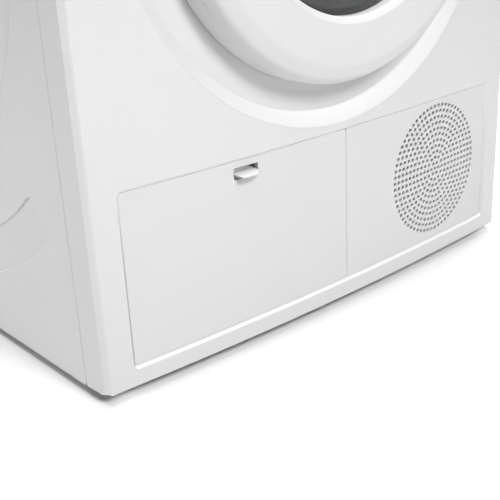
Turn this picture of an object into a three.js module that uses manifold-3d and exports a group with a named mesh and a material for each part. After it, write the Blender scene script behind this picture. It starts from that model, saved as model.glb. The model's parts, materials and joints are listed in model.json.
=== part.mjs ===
// A front-loading condenser tumble dryer, built as the separate pieces that it comes apart into.
// Millimetres, +Z up, the front faces -Y, and the origin is on the floor at the middle of the outline.
import * as THREE from 'three';
import { mergeVertices } from 'three/addons/utils/BufferGeometryUtils.js';
import Module from 'manifold-3d';

const wasm = await Module();
wasm.setup();

// Cabinet
const HALF_WIDTH = 299;
const HEIGHT = 842;
const FRONT = -280; // plane of the front's two vertical corners
const REAR = 310;
const BOW = 11; // how far the front bulges forward at its middle
const CORNER = 6;
const SHEET = 1.2; // steel sheet of the casing
const THIN_SHEET = 1;
const GAP = 0.4; // clearance between pieces that meet
const CUT = 5; // how far a cutter runs past what it cuts
const RETURN_BACK = -244; // where the front panel's returns end at the side panels
const SIDE_BOTTOM = 8;
const PANEL_BOTTOM = 12.5;
const PANEL_TOP = 711;
const FASCIA_BOTTOM = 712;
const FASCIA_TOP = 812.5;
const WORKTOP_BOTTOM = 814;

// Service opening in the plinth, filled by the flap and the grille panel
const SERVICE_HALF = 266.8;
const SERVICE_LOW = 31.8;
const SERVICE_HIGH = 198.4;
const SERVICE_DEPTH = 2.5; // the panels stand this far back from the front's face
const SERVICE_SPLIT = 8.5;
const PLATE = 3;
const FLAP_AXIS_Y = -276;
const FLAP_AXIS_Z = 45;
const FLAP_PINS = [-238, -25];
const PIN_RADIUS = 1.5;
const LATCH_X = -126.5;
const LATCH_WIDTH = 29;
const LATCH_LOW = 180;
const LATCH_HIGH = 191.6;
const LATCH_AXIS_Z = 186;

// Fan and motor on one shaft, behind the grille
const SHAFT_X = 165;
const SHAFT_Z = 117;
const SHAFT_RADIUS = 6;
const PULLEY_RADIUS = 12;
const GRILLE_RINGS = 4;
const GRILLE_PITCH = 17;
const GRILLE_HOLE = 5;

// Drum and loading mouth
const DRUM_Z = 480;
const DRUM_RADIUS = 266;
const DRUM_FRONT = -228;
const DRUM_BACK = 232;
const DRUM_LIP = 235;
const MOUTH_Z = 459;
const MOUTH_RADIUS = 172;
const BULKHEAD_HALF = 290.5;
const DISH_RADIUS = 249;
const DISH_FLAT = 230;
const DISH_FLOOR = -276.4;
const BELT_FRONT = 60;
const BELT_WIDTH = 8;
const BELT_THICK = 2.2;
const BELT_SLACK = 1.8; // keeps the belt's flat facets clear of the drum's
const ROLLER_RADIUS = 24;
const IDLER_RADIUS = 16;
const IDLER_ARM = 45;

// Door
const DOOR_RADIUS = 208;
const DOOR_FRONT = -320;
const DOOR_BACK = -277.6;
const WINDOW_RADIUS = 143;
const HINGE_X = 216;
const HINGE_Y = -302;

// Water drawer
const DRAWER_LEFT = -284.5;
const DRAWER_RIGHT = -119.5;
const DRAWER_LOW = 729.5;
const DRAWER_HIGH = 800.5;

const DIAL_Z = 762;
const POWER_X = -75;
const START_X = 215;
const OPTION_XS = [75, 110, 145];
const OPTION_Z = 733;
const SCREEN_LEFT = 60;
const SCREEN_RIGHT = 160;
const SCREEN_LOW = 746;
const SCREEN_HIGH = 786;
const GLAND_X = -220;
const GLAND_Z = 60;
const FOOT_X = 255;
const FOOT_YS = [-215, 270];

// ---- Solids ----

function solid(geometry) {
  const bare = geometry.clone();
  bare.deleteAttribute('normal');
  bare.deleteAttribute('uv');
  const merged = mergeVertices(bare, 1e-4);
  const mesh = new wasm.Mesh({
    numProp: 3,
    vertProperties: new Float32Array(merged.attributes.position.array),
    triVerts: new Uint32Array(merged.index.array),
  });
  return new wasm.Manifold(mesh);
}

function geometryOf(shape) {
  const mesh = shape.getMesh();
  const geometry = new THREE.BufferGeometry();
  geometry.setAttribute('position', new THREE.BufferAttribute(mesh.vertProperties, 3));
  geometry.setIndex(new THREE.BufferAttribute(mesh.triVerts, 1));
  const faceted = geometry.toNonIndexed();
  faceted.computeVertexNormals();
  return faceted;
}

function box(x0, x1, y0, y1, z0, z1) {
  const geometry = new THREE.BoxGeometry(x1 - x0, y1 - y0, z1 - z0);
  return solid(geometry.translate((x0 + x1) / 2, (y0 + y1) / 2, (z0 + z1) / 2));
}

// Round bars along each axis. a and b are the centre's other two coordinates, in X, Y, Z order.
function barX(radius, x0, x1, y, z, sides = 16) {
  const geometry = new THREE.CylinderGeometry(radius, radius, x1 - x0, sides).rotateZ(Math.PI / 2);
  return solid(geometry.translate((x0 + x1) / 2, y, z));
}

function barY(radius, y0, y1, x, z, sides = 24) {
  const geometry = new THREE.CylinderGeometry(radius, radius, y1 - y0, sides);
  return solid(geometry.translate(x, (y0 + y1) / 2, z));
}

function barZ(radius, z0, z1, x, y, sides = 16) {
  const geometry = new THREE.CylinderGeometry(radius, radius, z1 - z0, sides).rotateX(Math.PI / 2);
  return solid(geometry.translate(x, y, (z0 + z1) / 2));
}

// A closed profile of [radius, y] points turned about the Y axis, listed with its outside on the right.
function turned(profile, sides) {
  const points = [...profile, profile[0]].map(([radius, y]) => new THREE.Vector2(radius, y));
  return solid(new THREE.LatheGeometry(points, sides));
}

// A plan outline raised along Z.
function raised(shape, z0, z1, curveSegments = 6) {
  const options = { depth: z1 - z0, bevelEnabled: false, curveSegments };
  const geometry = new THREE.ExtrudeGeometry(shape, options);
  return solid(geometry.translate(0, 0, z0));
}

// A front outline, drawn in X and Z, run back from y0 to y1.
function runBack(shape, y0, y1, curveSegments = 6) {
  const options = { depth: y1 - y0, bevelEnabled: false, curveSegments };
  const geometry = new THREE.ExtrudeGeometry(shape, options);
  return solid(geometry.rotateX(Math.PI / 2).translate(0, y1, 0));
}

function outlineOf(points) {
  return new THREE.Shape(points.map(([x, y]) => new THREE.Vector2(x, y)));
}

function roundedRectangle(x0, x1, z0, z1, radius) {
  const shape = new THREE.Shape();
  shape.moveTo(x0 + radius, z0);
  shape.lineTo(x1 - radius, z0);
  shape.absarc(x1 - radius, z0 + radius, radius, -Math.PI / 2, 0);
  shape.absarc(x1 - radius, z1 - radius, radius, 0, Math.PI / 2);
  shape.absarc(x0 + radius, z1 - radius, radius, Math.PI / 2, Math.PI);
  shape.absarc(x0 + radius, z0 + radius, radius, Math.PI, Math.PI * 1.5);
  return shape;
}

function cylinderCut(x, z, radius, sides = 24) {
  return barY(radius, FRONT - 60, FRONT + 60, x, z, sides);
}

// ---- The bowed front ----

const BOW_HALF = HALF_WIDTH - CORNER;

// The front face's y at x.
function frontAt(x) {
  return FRONT - BOW * (1 - (x / BOW_HALF) ** 2);
}

// Draws the bow between two x, set back by inset, onto a plan outline.
function drawBow(shape, fromX, toX, inset) {
  const slope = (2 * BOW * fromX) / BOW_HALF ** 2;
  const middle = (fromX + toX) / 2;
  const control = frontAt(fromX) + slope * (middle - fromX);
  shape.quadraticCurveTo(middle, control + inset, toX, frontAt(toX) + inset);
}

// The cabinet's plan, with its bowed front and rounded corners, drawn inset from the outside.
function cabinetPlan(inset, back) {
  const half = HALF_WIDTH - inset;
  const radius = CORNER - inset;
  const shape = new THREE.Shape();
  shape.moveTo(half, back);
  shape.lineTo(-half, back);
  shape.lineTo(-half, FRONT + CORNER);
  shape.absarc(-BOW_HALF, FRONT + CORNER, radius, Math.PI, Math.PI * 1.5);
  drawBow(shape, -BOW_HALF, BOW_HALF, inset);
  shape.absarc(BOW_HALF, FRONT + CORNER, radius, -Math.PI / 2, 0);
  return shape;
}

// A plate that follows the bow, from x0 to x1, its face set back by inset.
function bowedPlate(x0, x1, z0, z1, inset, thickness) {
  const shape = new THREE.Shape();
  shape.moveTo(x0, frontAt(x0) + inset);
  drawBow(shape, x0, x1, inset);
  shape.lineTo(x1, frontAt(x1) + inset + thickness);
  drawBow(shape, x1, x0, inset + thickness);
  return raised(shape, z0, z1);
}

// ---- Finishes and nodes ----

const FINISHES = {
  enamel: [0xf1f1f1, 0.38, 0.0],
  whitePlastic: [0xeeeeee, 0.45, 0.0],
  greyPlastic: [0xa9acae, 0.55, 0.0],
  darkPlastic: [0x35383b, 0.5, 0.0],
  blackGloss: [0x121416, 0.12, 0.0],
  smokedGlass: [0x2a2e31, 0.05, 0.0],
  galvanised: [0xb4b8ba, 0.42, 0.9],
  stainless: [0xc9cbcc, 0.28, 1.0],
  aluminium: [0xb9bcbe, 0.45, 0.95],
  rubber: [0x3b3c3d, 0.85, 0.0],
  felt: [0x8d8b86, 0.95, 0.0],
  steel: [0x8f9396, 0.35, 1.0],
  bronze: [0xa27a45, 0.4, 1.0],
};

function node(parent, name, finish, shape) {
  const [color, roughness, metalness] = FINISHES[finish];
  const material = new THREE.MeshStandardMaterial({ color, roughness, metalness });
  const mesh = new THREE.Mesh(geometryOf(shape), material);
  mesh.name = name;
  parent.add(mesh);
  return mesh;
}

function groupAt(parent, x, y, z) {
  const group = new THREE.Group();
  group.position.set(x, y, z);
  parent.add(group);
  return group;
}

const dryer = new THREE.Group();

// ---- Outer casing ----

function frontPanel() {
  const outside = raised(cabinetPlan(0, RETURN_BACK), PANEL_BOTTOM, PANEL_TOP);
  const inside = raised(cabinetPlan(SHEET, RETURN_BACK + 10), PANEL_BOTTOM + SHEET, PANEL_TOP + 10);
  const dishBack = turned([
    [0, DISH_FLOOR - 10],
    [DISH_RADIUS + 2, FRONT - BOW],
    [DISH_RADIUS + 2, FRONT - 3],
    [DISH_FLAT + 1, DISH_FLOOR + SHEET],
    [0, DISH_FLOOR + SHEET],
  ], 48).translate([0, 0, MOUTH_Z]);
  const dishHollow = turned([
    [0, FRONT - BOW - 5],
    [DISH_RADIUS, FRONT - BOW - 5],
    [DISH_RADIUS, FRONT - 4],
    [DISH_FLAT, DISH_FLOOR],
    [0, DISH_FLOOR],
  ], 48).translate([0, 0, MOUTH_Z]);
  const half = SERVICE_HALF + 1;
  const opening = roundedRectangle(-half, half, SERVICE_LOW - 1, SERVICE_HIGH + 1.5, 5);
  return outside
    .subtract(inside)
    .add(dishBack.intersect(outside))
    .subtract(dishHollow)
    .subtract(cylinderCut(0, MOUTH_Z, MOUTH_RADIUS + 6, 48))
    .subtract(box(-199, -184, FRONT - 2, FRONT + 10, MOUTH_Z - 8, MOUTH_Z + 8))
    .subtract(runBack(opening, FRONT - 30, FRONT + 20));
}

// side is -1 for the left panel and 1 for the right one.
function sidePanel(side) {
  const flange = 7.5;
  const front = RETURN_BACK + 1;
  const back = REAR - SHEET - GAP;
  const channel = outlineOf([
    [0, front],
    [flange, front],
    [flange, front + SHEET],
    [SHEET, front + SHEET],
    [SHEET, back - SHEET],
    [flange, back - SHEET],
    [flange, back],
    [0, back],
  ]);
  const panel = raised(channel, SIDE_BOTTOM, FASCIA_TOP).translate([-HALF_WIDTH, 0, 0]);
  return side < 0 ? panel : panel.mirror([1, 0, 0]);
}

function rearPanel() {
  return box(-BULKHEAD_HALF, BULKHEAD_HALF, REAR - SHEET, REAR, 20, FASCIA_TOP)
    .subtract(barY(205, REAR - 10, REAR + 10, 0, DRUM_Z, 40))
    .subtract(barY(9.4, REAR - 10, REAR + 10, GLAND_X, GLAND_Z));
}

function rearDuctCover() {
  return turned([
    [0, REAR + 8.5],
    [190, REAR + 8.5],
    [204, REAR + GAP],
    [225, REAR + GAP],
    [225, REAR + GAP + SHEET],
    [205, REAR + GAP + SHEET],
    [191, REAR + 10],
    [0, REAR + 10],
  ], 40).translate([0, 0, DRUM_Z]);
}

function worktop() {
  const slab = raised(cabinetPlan(0, REAR), WORKTOP_BOTTOM, HEIGHT);
  return slab.subtract(raised(cabinetPlan(5, REAR - 8), WORKTOP_BOTTOM - 5, HEIGHT - 6));
}

function controlFascia() {
  const outside = raised(cabinetPlan(0, RETURN_BACK), FASCIA_BOTTOM, FASCIA_TOP);
  const inside = raised(cabinetPlan(PLATE, RETURN_BACK + 10), FASCIA_BOTTOM - 5, FASCIA_TOP + 5);
  const back = FRONT + 20;
  let fascia = outside
    .subtract(inside)
    .subtract(box(DRAWER_LEFT, DRAWER_RIGHT, FRONT - 20, back, DRAWER_LOW, DRAWER_HIGH))
    .subtract(box(SCREEN_LEFT, SCREEN_RIGHT, FRONT - 20, back, SCREEN_LOW, SCREEN_HIGH))
    .subtract(cylinderCut(0, DIAL_Z, 8))
    .subtract(cylinderCut(POWER_X, DIAL_Z, 9.5))
    .subtract(cylinderCut(START_X, DIAL_Z, 13.5));
  for (const x of OPTION_XS) {
    fascia = fascia.subtract(box(x - 10.5, x + 10.5, FRONT - 20, back, OPTION_Z - 5.5, OPTION_Z + 5.5));
  }
  return fascia;
}

function cableGland() {
  return barY(9, REAR - 12, REAR + 2, GLAND_X, GLAND_Z)
    .add(barY(16, REAR + GAP, REAR + 4, GLAND_X, GLAND_Z))
    .subtract(barY(4, REAR - 20, REAR + 20, GLAND_X, GLAND_Z, 12));
}

node(dryer, 'front_panel', 'enamel', frontPanel());
node(dryer, 'side_panel_left', 'enamel', sidePanel(-1));
node(dryer, 'side_panel_right', 'enamel', sidePanel(1));
node(dryer, 'rear_panel', 'galvanised', rearPanel());
node(dryer, 'rear_duct_cover', 'galvanised', rearDuctCover());
node(dryer, 'worktop', 'enamel', worktop());
node(dryer, 'control_fascia', 'whitePlastic', controlFascia());
node(dryer, 'cable_gland', 'darkPlastic', cableGland());

// ---- Base: tray with the exchanger's duct, the motor's cradle and the levelling feet ----

const TRAY_FRONT = -262;
const TRAY_LOW = 16;
const TRAY_FLOOR = 20;
const DUCT_LEFT = -264;
const DUCT_RIGHT = 2;
const DUCT_FRONT = -250;
const DUCT_BACK = 70;
const DUCT_TOP = 170;
const DUCT_FLOOR = 54;
const IDLER_POST_Y = 76;

// The straight lower run of the belt, from the drum to the pulley, sets where the idler sits.
const BELT_DRUM = DRUM_RADIUS + BELT_SLACK;
const BELT_PULLEY = PULLEY_RADIUS + BELT_SLACK;
const shaftDistance = Math.hypot(SHAFT_X, DRUM_Z - SHAFT_Z);
const shaftAngle = Math.atan2(SHAFT_Z - DRUM_Z, SHAFT_X);
const wrapAngle = Math.acos((BELT_DRUM - BELT_PULLEY) / shaftDistance);
const lowerTangent = shaftAngle - wrapAngle;
const upperTangent = shaftAngle + wrapAngle;
const runOut = new THREE.Vector2(Math.cos(lowerTangent), Math.sin(lowerTangent));
const runAlong = new THREE.Vector2(-runOut.y, runOut.x);
const idlerAlong = 75;
const idlerOut = BELT_PULLEY + BELT_THICK + IDLER_RADIUS + GAP;
const idlerX = SHAFT_X + runOut.x * idlerOut - runAlong.x * idlerAlong;
const idlerZ = SHAFT_Z + runOut.y * idlerOut - runAlong.y * idlerAlong;
const idlerPivotX = idlerX - runAlong.x * IDLER_ARM;
const idlerPivotZ = idlerZ - runAlong.y * IDLER_ARM;

// A block open in front for the exchanger, with a sump under it and two air ports, one at its right
// towards the cooling fan and one at its back.
function exchangerDuct() {
  const wall = 4;
  const left = DUCT_LEFT + wall;
  const right = DUCT_RIGHT - wall;
  const back = DUCT_BACK - wall;
  const bay = box(left, right, DUCT_FRONT - CUT, back, DUCT_FLOOR, DUCT_TOP - wall);
  const sump = box(left + wall, right - wall, DUCT_FRONT + CUT, back - wall, TRAY_FLOOR, DUCT_FLOOR + CUT);
  const fanPort = box(right - CUT, DUCT_RIGHT + CUT, -240, -186, 60, 95);
  const rearPort = box(-180, -80, back - CUT, DUCT_BACK + CUT, 60, 140);
  return box(DUCT_LEFT, DUCT_RIGHT, DUCT_FRONT, DUCT_BACK, TRAY_LOW, DUCT_TOP)
    .subtract(bay)
    .subtract(sump)
    .subtract(fanPort)
    .subtract(rearPort);
}

// The bored lug that carries one of the flap's hinge pins, round in front and below for the flap's swing.
function flapLug(x) {
  const x0 = x + 5;
  const x1 = x + 11;
  const radius = 2.4;
  const back = TRAY_FRONT + 3;
  return barX(radius, x0, x1, FLAP_AXIS_Y, FLAP_AXIS_Z, 24)
    .add(box(x0, x1, FLAP_AXIS_Y - radius, back, FLAP_AXIS_Z, FLAP_AXIS_Z + 8))
    .add(box(x0, x1, FLAP_AXIS_Y, back, FLAP_AXIS_Z - radius, FLAP_AXIS_Z + CUT))
    .subtract(barX(PIN_RADIUS + GAP, x0 - CUT, x1 + CUT, FLAP_AXIS_Y, FLAP_AXIS_Z, 12));
}

function baseTray() {
  const half = BULKHEAD_HALF;
  const back = REAR - 6;
  let tray = box(-half, half, TRAY_FRONT, back, TRAY_LOW, 48)
    .subtract(box(-half + 4, half - 4, TRAY_FRONT + 4, back - 4, TRAY_FLOOR, 60))
    .add(exchangerDuct());
  for (const y of [-36, 22]) {
    const saddle = box(SHAFT_X - 60, SHAFT_X + 60, y, y + 6, TRAY_LOW, 100);
    tray = tray.add(saddle.subtract(barY(55.6, y - 10, y + 20, SHAFT_X, SHAFT_Z, 24)));
  }
  const postLeft = idlerPivotX - 8;
  const postRight = idlerPivotX + 8;
  tray = tray
    .add(box(postLeft, postRight, IDLER_POST_Y, IDLER_POST_Y + 10, TRAY_LOW, idlerPivotZ + 8))
    .add(barY(4, IDLER_POST_Y - 5.5, IDLER_POST_Y + 2, idlerPivotX, idlerPivotZ, 12));
  for (const x of FLAP_PINS) tray = tray.add(flapLug(x));
  for (const x of [-FOOT_X, FOOT_X]) {
    for (const y of FOOT_YS) {
      tray = tray.add(barZ(13, TRAY_LOW, 34, x, y)).subtract(barZ(5.4, TRAY_LOW - 5, 33.5, x, y, 12));
    }
  }
  return tray;
}

function exchangerCore() {
  const left = DUCT_LEFT + 10;
  const channels = 9;
  const pitch = 27;
  const fin = 3;
  let core = box(left, left + channels * pitch + fin, DUCT_FRONT + 1, 40, DUCT_FLOOR + 2, 162);
  for (let i = 0; i < channels; i += 1) {
    const x = left + fin + i * pitch;
    core = core.subtract(box(x, x + pitch - fin, DUCT_FRONT + 4, 37, DUCT_FLOOR + 5, 170));
  }
  return core;
}

const LEVER_Z = 110;
const LEVERS = { left: -232, right: -30 };

function exchangerCover() {
  const front = DUCT_FRONT - 5.5;
  let cover = box(DUCT_LEFT + 1, DUCT_RIGHT - 1, front, DUCT_FRONT - GAP, DUCT_FLOOR + 1, DUCT_TOP - 1)
    .add(box(-171, -91, front - 8, front + 1, LEVER_Z - 5, LEVER_Z + 5))
    .subtract(box(-160, -102, front - 5, front, LEVER_Z - 11, LEVER_Z + 11));
  for (const x of Object.values(LEVERS)) {
    cover = cover.subtract(barY(5.4, front - 5, front + 20, x, LEVER_Z, 12));
  }
  return cover;
}

// side is the way that the locking arm points at rest.
function lockLever(side) {
  const reach = 29 * side;
  return barY(9, -8.5, 0, 0, 0, 16)
    .add(box(Math.min(0, reach), Math.max(0, reach), -6.5, -1, -5, 5))
    .add(barY(5, -1, 5, 0, 0, 12));
}

function footShape() {
  return barZ(20, 0, 7, 0, 0, 20).add(barZ(5, 6, 32, 0, 0, 12));
}

// A sump housing with its motor on top and the outlet stub to the right.
function condensatePump() {
  const x = -215;
  const y = 190;
  return barZ(32, TRAY_FLOOR + 1, 50, x, y, 20)
    .add(barZ(22, 49, 92, x, y, 20))
    .add(barX(6, x + 20, x + 50, y, 36, 12));
}

node(dryer, 'base_tray', 'greyPlastic', baseTray());
node(dryer, 'exchanger_core', 'aluminium', exchangerCore());
node(dryer, 'exchanger_cover', 'greyPlastic', exchangerCover());
node(dryer, 'condensate_pump', 'darkPlastic', condensatePump());
for (const [name, x] of Object.entries(LEVERS)) {
  const side = Math.sign(x - (LEVERS.left + LEVERS.right) / 2);
  const spot = groupAt(dryer, x, DUCT_FRONT - 6, LEVER_Z);
  node(spot, 'lock_lever_' + name, 'whitePlastic', lockLever(side));
}
const FOOT_NAMES = [['foot_front_left', 'foot_front_right'], ['foot_rear_left', 'foot_rear_right']];
FOOT_YS.forEach((y, row) => {
  [-FOOT_X, FOOT_X].forEach((x, column) => {
    node(groupAt(dryer, x, y, 0), FOOT_NAMES[row][column], 'rubber', footShape());
  });
});

// ---- Plinth: the service flap with its latch, and the perforated grille panel ----

function serviceFlap() {
  const left = -SERVICE_HALF + GAP;
  const right = SERVICE_SPLIT - GAP;
  const half = LATCH_WIDTH / 2;
  const latchWindow = box(LATCH_X - half, LATCH_X + half, FRONT - 30, FRONT + 20, LATCH_LOW, LATCH_HIGH);
  let flap = bowedPlate(left, right, SERVICE_LOW + GAP, SERVICE_HIGH - GAP, SERVICE_DEPTH, PLATE);
  flap = flap.subtract(latchWindow);
  for (const x of FLAP_PINS) {
    const earFront = frontAt(x) + SERVICE_DEPTH + PLATE - 1;
    flap = flap
      .add(box(x - 2, x + 2, earFront, FLAP_AXIS_Y + 3, FLAP_AXIS_Z - 3, FLAP_AXIS_Z + 4))
      .add(barX(PIN_RADIUS, x, x + 12, FLAP_AXIS_Y, FLAP_AXIS_Z, 12));
  }
  for (const x of [LATCH_X - half - 6, LATCH_X + half + 2]) {
    const earFront = frontAt(x) + SERVICE_DEPTH + PLATE - 1;
    flap = flap.add(
      box(x, x + 4, earFront, FLAP_AXIS_Y + 4, LATCH_AXIS_Z - 5, LATCH_AXIS_Z + 5)
        .subtract(barX(2.4, x - 5, x + 9, FLAP_AXIS_Y, LATCH_AXIS_Z, 12)),
    );
  }
  return flap;
}

// The latch is drawn about its own pivot: a finger tab through the window and a catch that points up.
function flapLatch() {
  const tabHalf = 13;
  const tabFront = frontAt(LATCH_X) + SERVICE_DEPTH - 11.5 - FLAP_AXIS_Y;
  const tab = outlineOf([
    [-tabHalf, 1],
    [-tabHalf, tabFront + 2],
    [-tabHalf + 2, tabFront],
    [tabHalf - 2, tabFront],
    [tabHalf, tabFront + 2],
    [tabHalf, 1],
  ]);
  return raised(tab, -2, 0)
    .add(barX(3, -tabHalf, tabHalf, 0, 0, 12))
    .add(barX(2, -tabHalf - 7.5, tabHalf + 7.5, 0, 0, 12))
    .add(box(-8, 8, -2, 0.5, 0, 9.5));
}

function grillePanel() {
  const left = SERVICE_SPLIT + GAP;
  const right = SERVICE_HALF - GAP;
  const panel = bowedPlate(left, right, SERVICE_LOW + GAP, SERVICE_HIGH - GAP, SERVICE_DEPTH, PLATE);
  const holes = [cylinderCut(SHAFT_X, SHAFT_Z, GRILLE_HOLE, 6)];
  for (let ring = 1; ring <= GRILLE_RINGS; ring += 1) {
    const count = 6 * ring;
    for (let i = 0; i < count; i += 1) {
      const angle = (2 * Math.PI * i) / count;
      const x = SHAFT_X + ring * GRILLE_PITCH * Math.cos(angle);
      const z = SHAFT_Z + ring * GRILLE_PITCH * Math.sin(angle);
      holes.push(cylinderCut(x, z, GRILLE_HOLE, 6));
    }
  }
  return panel.subtract(wasm.Manifold.union(holes));
}

node(dryer, 'service_flap', 'whitePlastic', serviceFlap());
node(groupAt(dryer, LATCH_X, FLAP_AXIS_Y, LATCH_AXIS_Z), 'flap_latch', 'whitePlastic', flapLatch());
node(dryer, 'grille_panel', 'whitePlastic', grillePanel());

// ---- Drive: motor, shaft with two fans, belt, idler and the drum's support rollers ----

const rotor = groupAt(dryer, SHAFT_X, 0, SHAFT_Z);

function motorStator() {
  return turned([
    [SHAFT_RADIUS + 0.8, -52],
    [36, -52],
    [42, -44],
    [55, -44],
    [55, 34],
    [42, 34],
    [36, 42],
    [SHAFT_RADIUS + 0.8, 42],
  ], 24);
}

function motorShaft() {
  return turned([
    [0, -228],
    [SHAFT_RADIUS, -228],
    [SHAFT_RADIUS, BELT_FRONT - 2],
    [PULLEY_RADIUS, BELT_FRONT - 2],
    [PULLEY_RADIUS, BELT_FRONT + BELT_WIDTH + 2],
    [SHAFT_RADIUS, BELT_FRONT + BELT_WIDTH + 2],
    [SHAFT_RADIUS, 190],
    [0, 190],
  ], 24);
}

// A centrifugal wheel: blades that stand on a back plate with a hub. open is the way that its eye faces.
function fanWheel(radius, plateY, depth, open) {
  const tip = plateY + open * depth;
  let wheel = barY(radius, plateY - 1, plateY + 1, 0, 0, 32)
    .add(barY(14, Math.min(plateY, plateY + open * 20), Math.max(plateY, plateY + open * 20), 0, 0, 16));
  const blades = 12;
  for (let i = 0; i < blades; i += 1) {
    const blade = box(radius * 0.66, radius - 1, Math.min(plateY, tip), Math.max(plateY, tip), -1, 1);
    wheel = wheel.add(blade.rotate([0, (360 * i) / blades, 0]));
  }
  return wheel.subtract(barY(SHAFT_RADIUS + GAP, plateY - 60, plateY + 60, 0, 0, 16));
}

// The ring round a wheel, with a back plate and an outlet channel towards the exchanger.
function coolingFanHousing() {
  const y0 = -258;
  const y1 = -182;
  const left = 6 - SHAFT_X;
  return barY(76, y0, y1, 0, 0, 40)
    .add(box(left, 0, y0, y1, -76, -17))
    .subtract(barY(73, y0 - 5, y1 - 2, 0, 0, 40))
    .subtract(box(left - 5, 0, y0 + 3, y1 - 2, -73, -20))
    .subtract(barY(17, y0, y1 + 10, 0, 0, 24));
}

function processFanHousing() {
  const y0 = 146;
  const y1 = 194;
  const ductLeft = 20;
  const ductRight = 85;
  const ductTop = 121;
  const spoutLow = ductTop - 38;
  const spoutEnd = 240;
  const wall = 3;
  const innerLeft = ductLeft + wall;
  const innerRight = ductRight - wall;
  return barY(85, y0, y1, 0, 0, 40)
    .add(box(ductLeft, ductRight, y0, y1, 0, ductTop))
    .add(box(ductLeft, ductRight, y0, spoutEnd, spoutLow, ductTop))
    .subtract(barY(82, y0 + wall, y1 - wall, 0, 0, 40))
    .subtract(box(innerLeft, innerRight, y0 + wall, y1 - wall, 0, ductTop - wall))
    .subtract(box(innerLeft, innerRight, y0 + wall, spoutEnd + CUT, spoutLow + wall, ductTop - wall))
    .subtract(barY(42, y0 - 10, y0 + 10, 0, 0, 32));
}

// One side of the belt: round the drum, down to the pulley and back up.
function beltLoop(shape, growth) {
  const reach = BELT_DRUM + growth;
  shape.moveTo(reach * Math.cos(upperTangent), DRUM_Z + reach * Math.sin(upperTangent));
  shape.absarc(0, DRUM_Z, reach, upperTangent, lowerTangent + 2 * Math.PI);
  shape.absarc(SHAFT_X, SHAFT_Z, BELT_PULLEY + growth, lowerTangent, upperTangent);
  return shape;
}

function driveBelt() {
  const loop = beltLoop(new THREE.Shape(), BELT_THICK);
  loop.holes.push(beltLoop(new THREE.Path(), 0));
  return runBack(loop, BELT_FRONT, BELT_FRONT + BELT_WIDTH, 24);
}

// Drawn about its pivot. The idler's axle is at the arm's far end.
function idlerArm() {
  const back = IDLER_POST_Y - GAP;
  const front = back - 4;
  const dx = idlerX - idlerPivotX;
  const dz = idlerZ - idlerPivotZ;
  const lean = THREE.MathUtils.radToDeg(Math.atan2(-dz, dx));
  const link = box(0, IDLER_ARM, front, back, -6, 6).rotate([0, lean, 0]);
  return link
    .add(barY(9, front, back, 0, 0, 20))
    .add(barY(8, front, back, dx, dz, 20))
    .add(barY(4, BELT_FRONT - 4, front + 1, dx, dz, 12))
    .subtract(barY(4.4, front - 10, back + 10, 0, 0, 12));
}

function ringOf(outer, bore, y0, y1, sides) {
  return barY(outer, y0, y1, 0, 0, sides).subtract(barY(bore, y0 - 5, y1 + 5, 0, 0, sides));
}

const rollerReach = DRUM_RADIUS + 0.5 + ROLLER_RADIUS;
const rollerX = rollerReach * Math.sin(Math.PI / 6);
const rollerZ = DRUM_Z - rollerReach * Math.cos(Math.PI / 6);

node(rotor, 'motor_stator', 'steel', motorStator());
node(rotor, 'motor_shaft', 'steel', motorShaft());
node(rotor, 'cooling_fan_wheel', 'greyPlastic', fanWheel(68, -188, 44, -1));
node(rotor, 'process_fan_wheel', 'greyPlastic', fanWheel(78, 184, 32, -1));
node(rotor, 'cooling_fan_housing', 'greyPlastic', coolingFanHousing());
node(rotor, 'process_fan_housing', 'galvanised', processFanHousing());
node(dryer, 'drive_belt', 'rubber', driveBelt());
node(groupAt(dryer, idlerPivotX, 0, idlerPivotZ), 'idler_arm', 'steel', idlerArm());
const idlerSpot = groupAt(dryer, idlerX, 0, idlerZ);
const idlerRing = ringOf(IDLER_RADIUS, 4.4, BELT_FRONT - 2, BELT_FRONT + BELT_WIDTH + 2, 24);
node(idlerSpot, 'idler_pulley', 'darkPlastic', idlerRing);
for (const [name, side] of [['roller_left', -1], ['roller_right', 1]]) {
  const spot = groupAt(dryer, side * rollerX, 0, rollerZ);
  node(spot, name, 'darkPlastic', ringOf(ROLLER_RADIUS, 5.4, DRUM_FRONT + 6, DRUM_FRONT + 26, 24));
}

// ---- Bulkheads and drum ----

const BULKHEAD_BACK = -240;
const BULKHEAD_FRONT = -246;
const COLLAR_FRONT = -274.6;
const FILTER_HALF = 56;
const FILTER_FRONT = -265;
const FILTER_BACK = -251;
const REAR_WALL = 242;
const AIR_RING = 150;

// A bulkhead's outline: square at the foot, with a round head over the drum.
function bulkheadPlate(low, y0, y1) {
  return box(-BULKHEAD_HALF, BULKHEAD_HALF, y0, y1, low, 722).add(barY(272, y0, y1, 0, DRUM_Z, 48));
}

function frontBulkhead() {
  const pocket = FILTER_HALF + 5;
  let bulkhead = bulkheadPlate(212, BULKHEAD_FRONT, BULKHEAD_BACK)
    .add(barY(MOUTH_RADIUS + 4, COLLAR_FRONT, BULKHEAD_BACK, 0, MOUTH_Z, 48))
    .add(box(-pocket, pocket, -269.5, BULKHEAD_BACK, 212, 300));
  for (const side of [-1, 1]) {
    const x = side * rollerX;
    bulkhead = bulkhead
      .add(barY(11, BULKHEAD_FRONT, BULKHEAD_BACK + 3, x, rollerZ, 16))
      .add(barY(5, BULKHEAD_BACK, DRUM_FRONT + 30, x, rollerZ, 12));
  }
  return bulkhead
    .subtract(barY(MOUTH_RADIUS, COLLAR_FRONT - 5, BULKHEAD_BACK + 5, 0, MOUTH_Z, 48))
    .subtract(box(-FILTER_HALF - 2.5, FILTER_HALF + 2.5, FILTER_FRONT - 2, FILTER_BACK + 2, 214, 330))
    .subtract(box(-40, 40, -263, -253, 205, 220));
}

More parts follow.
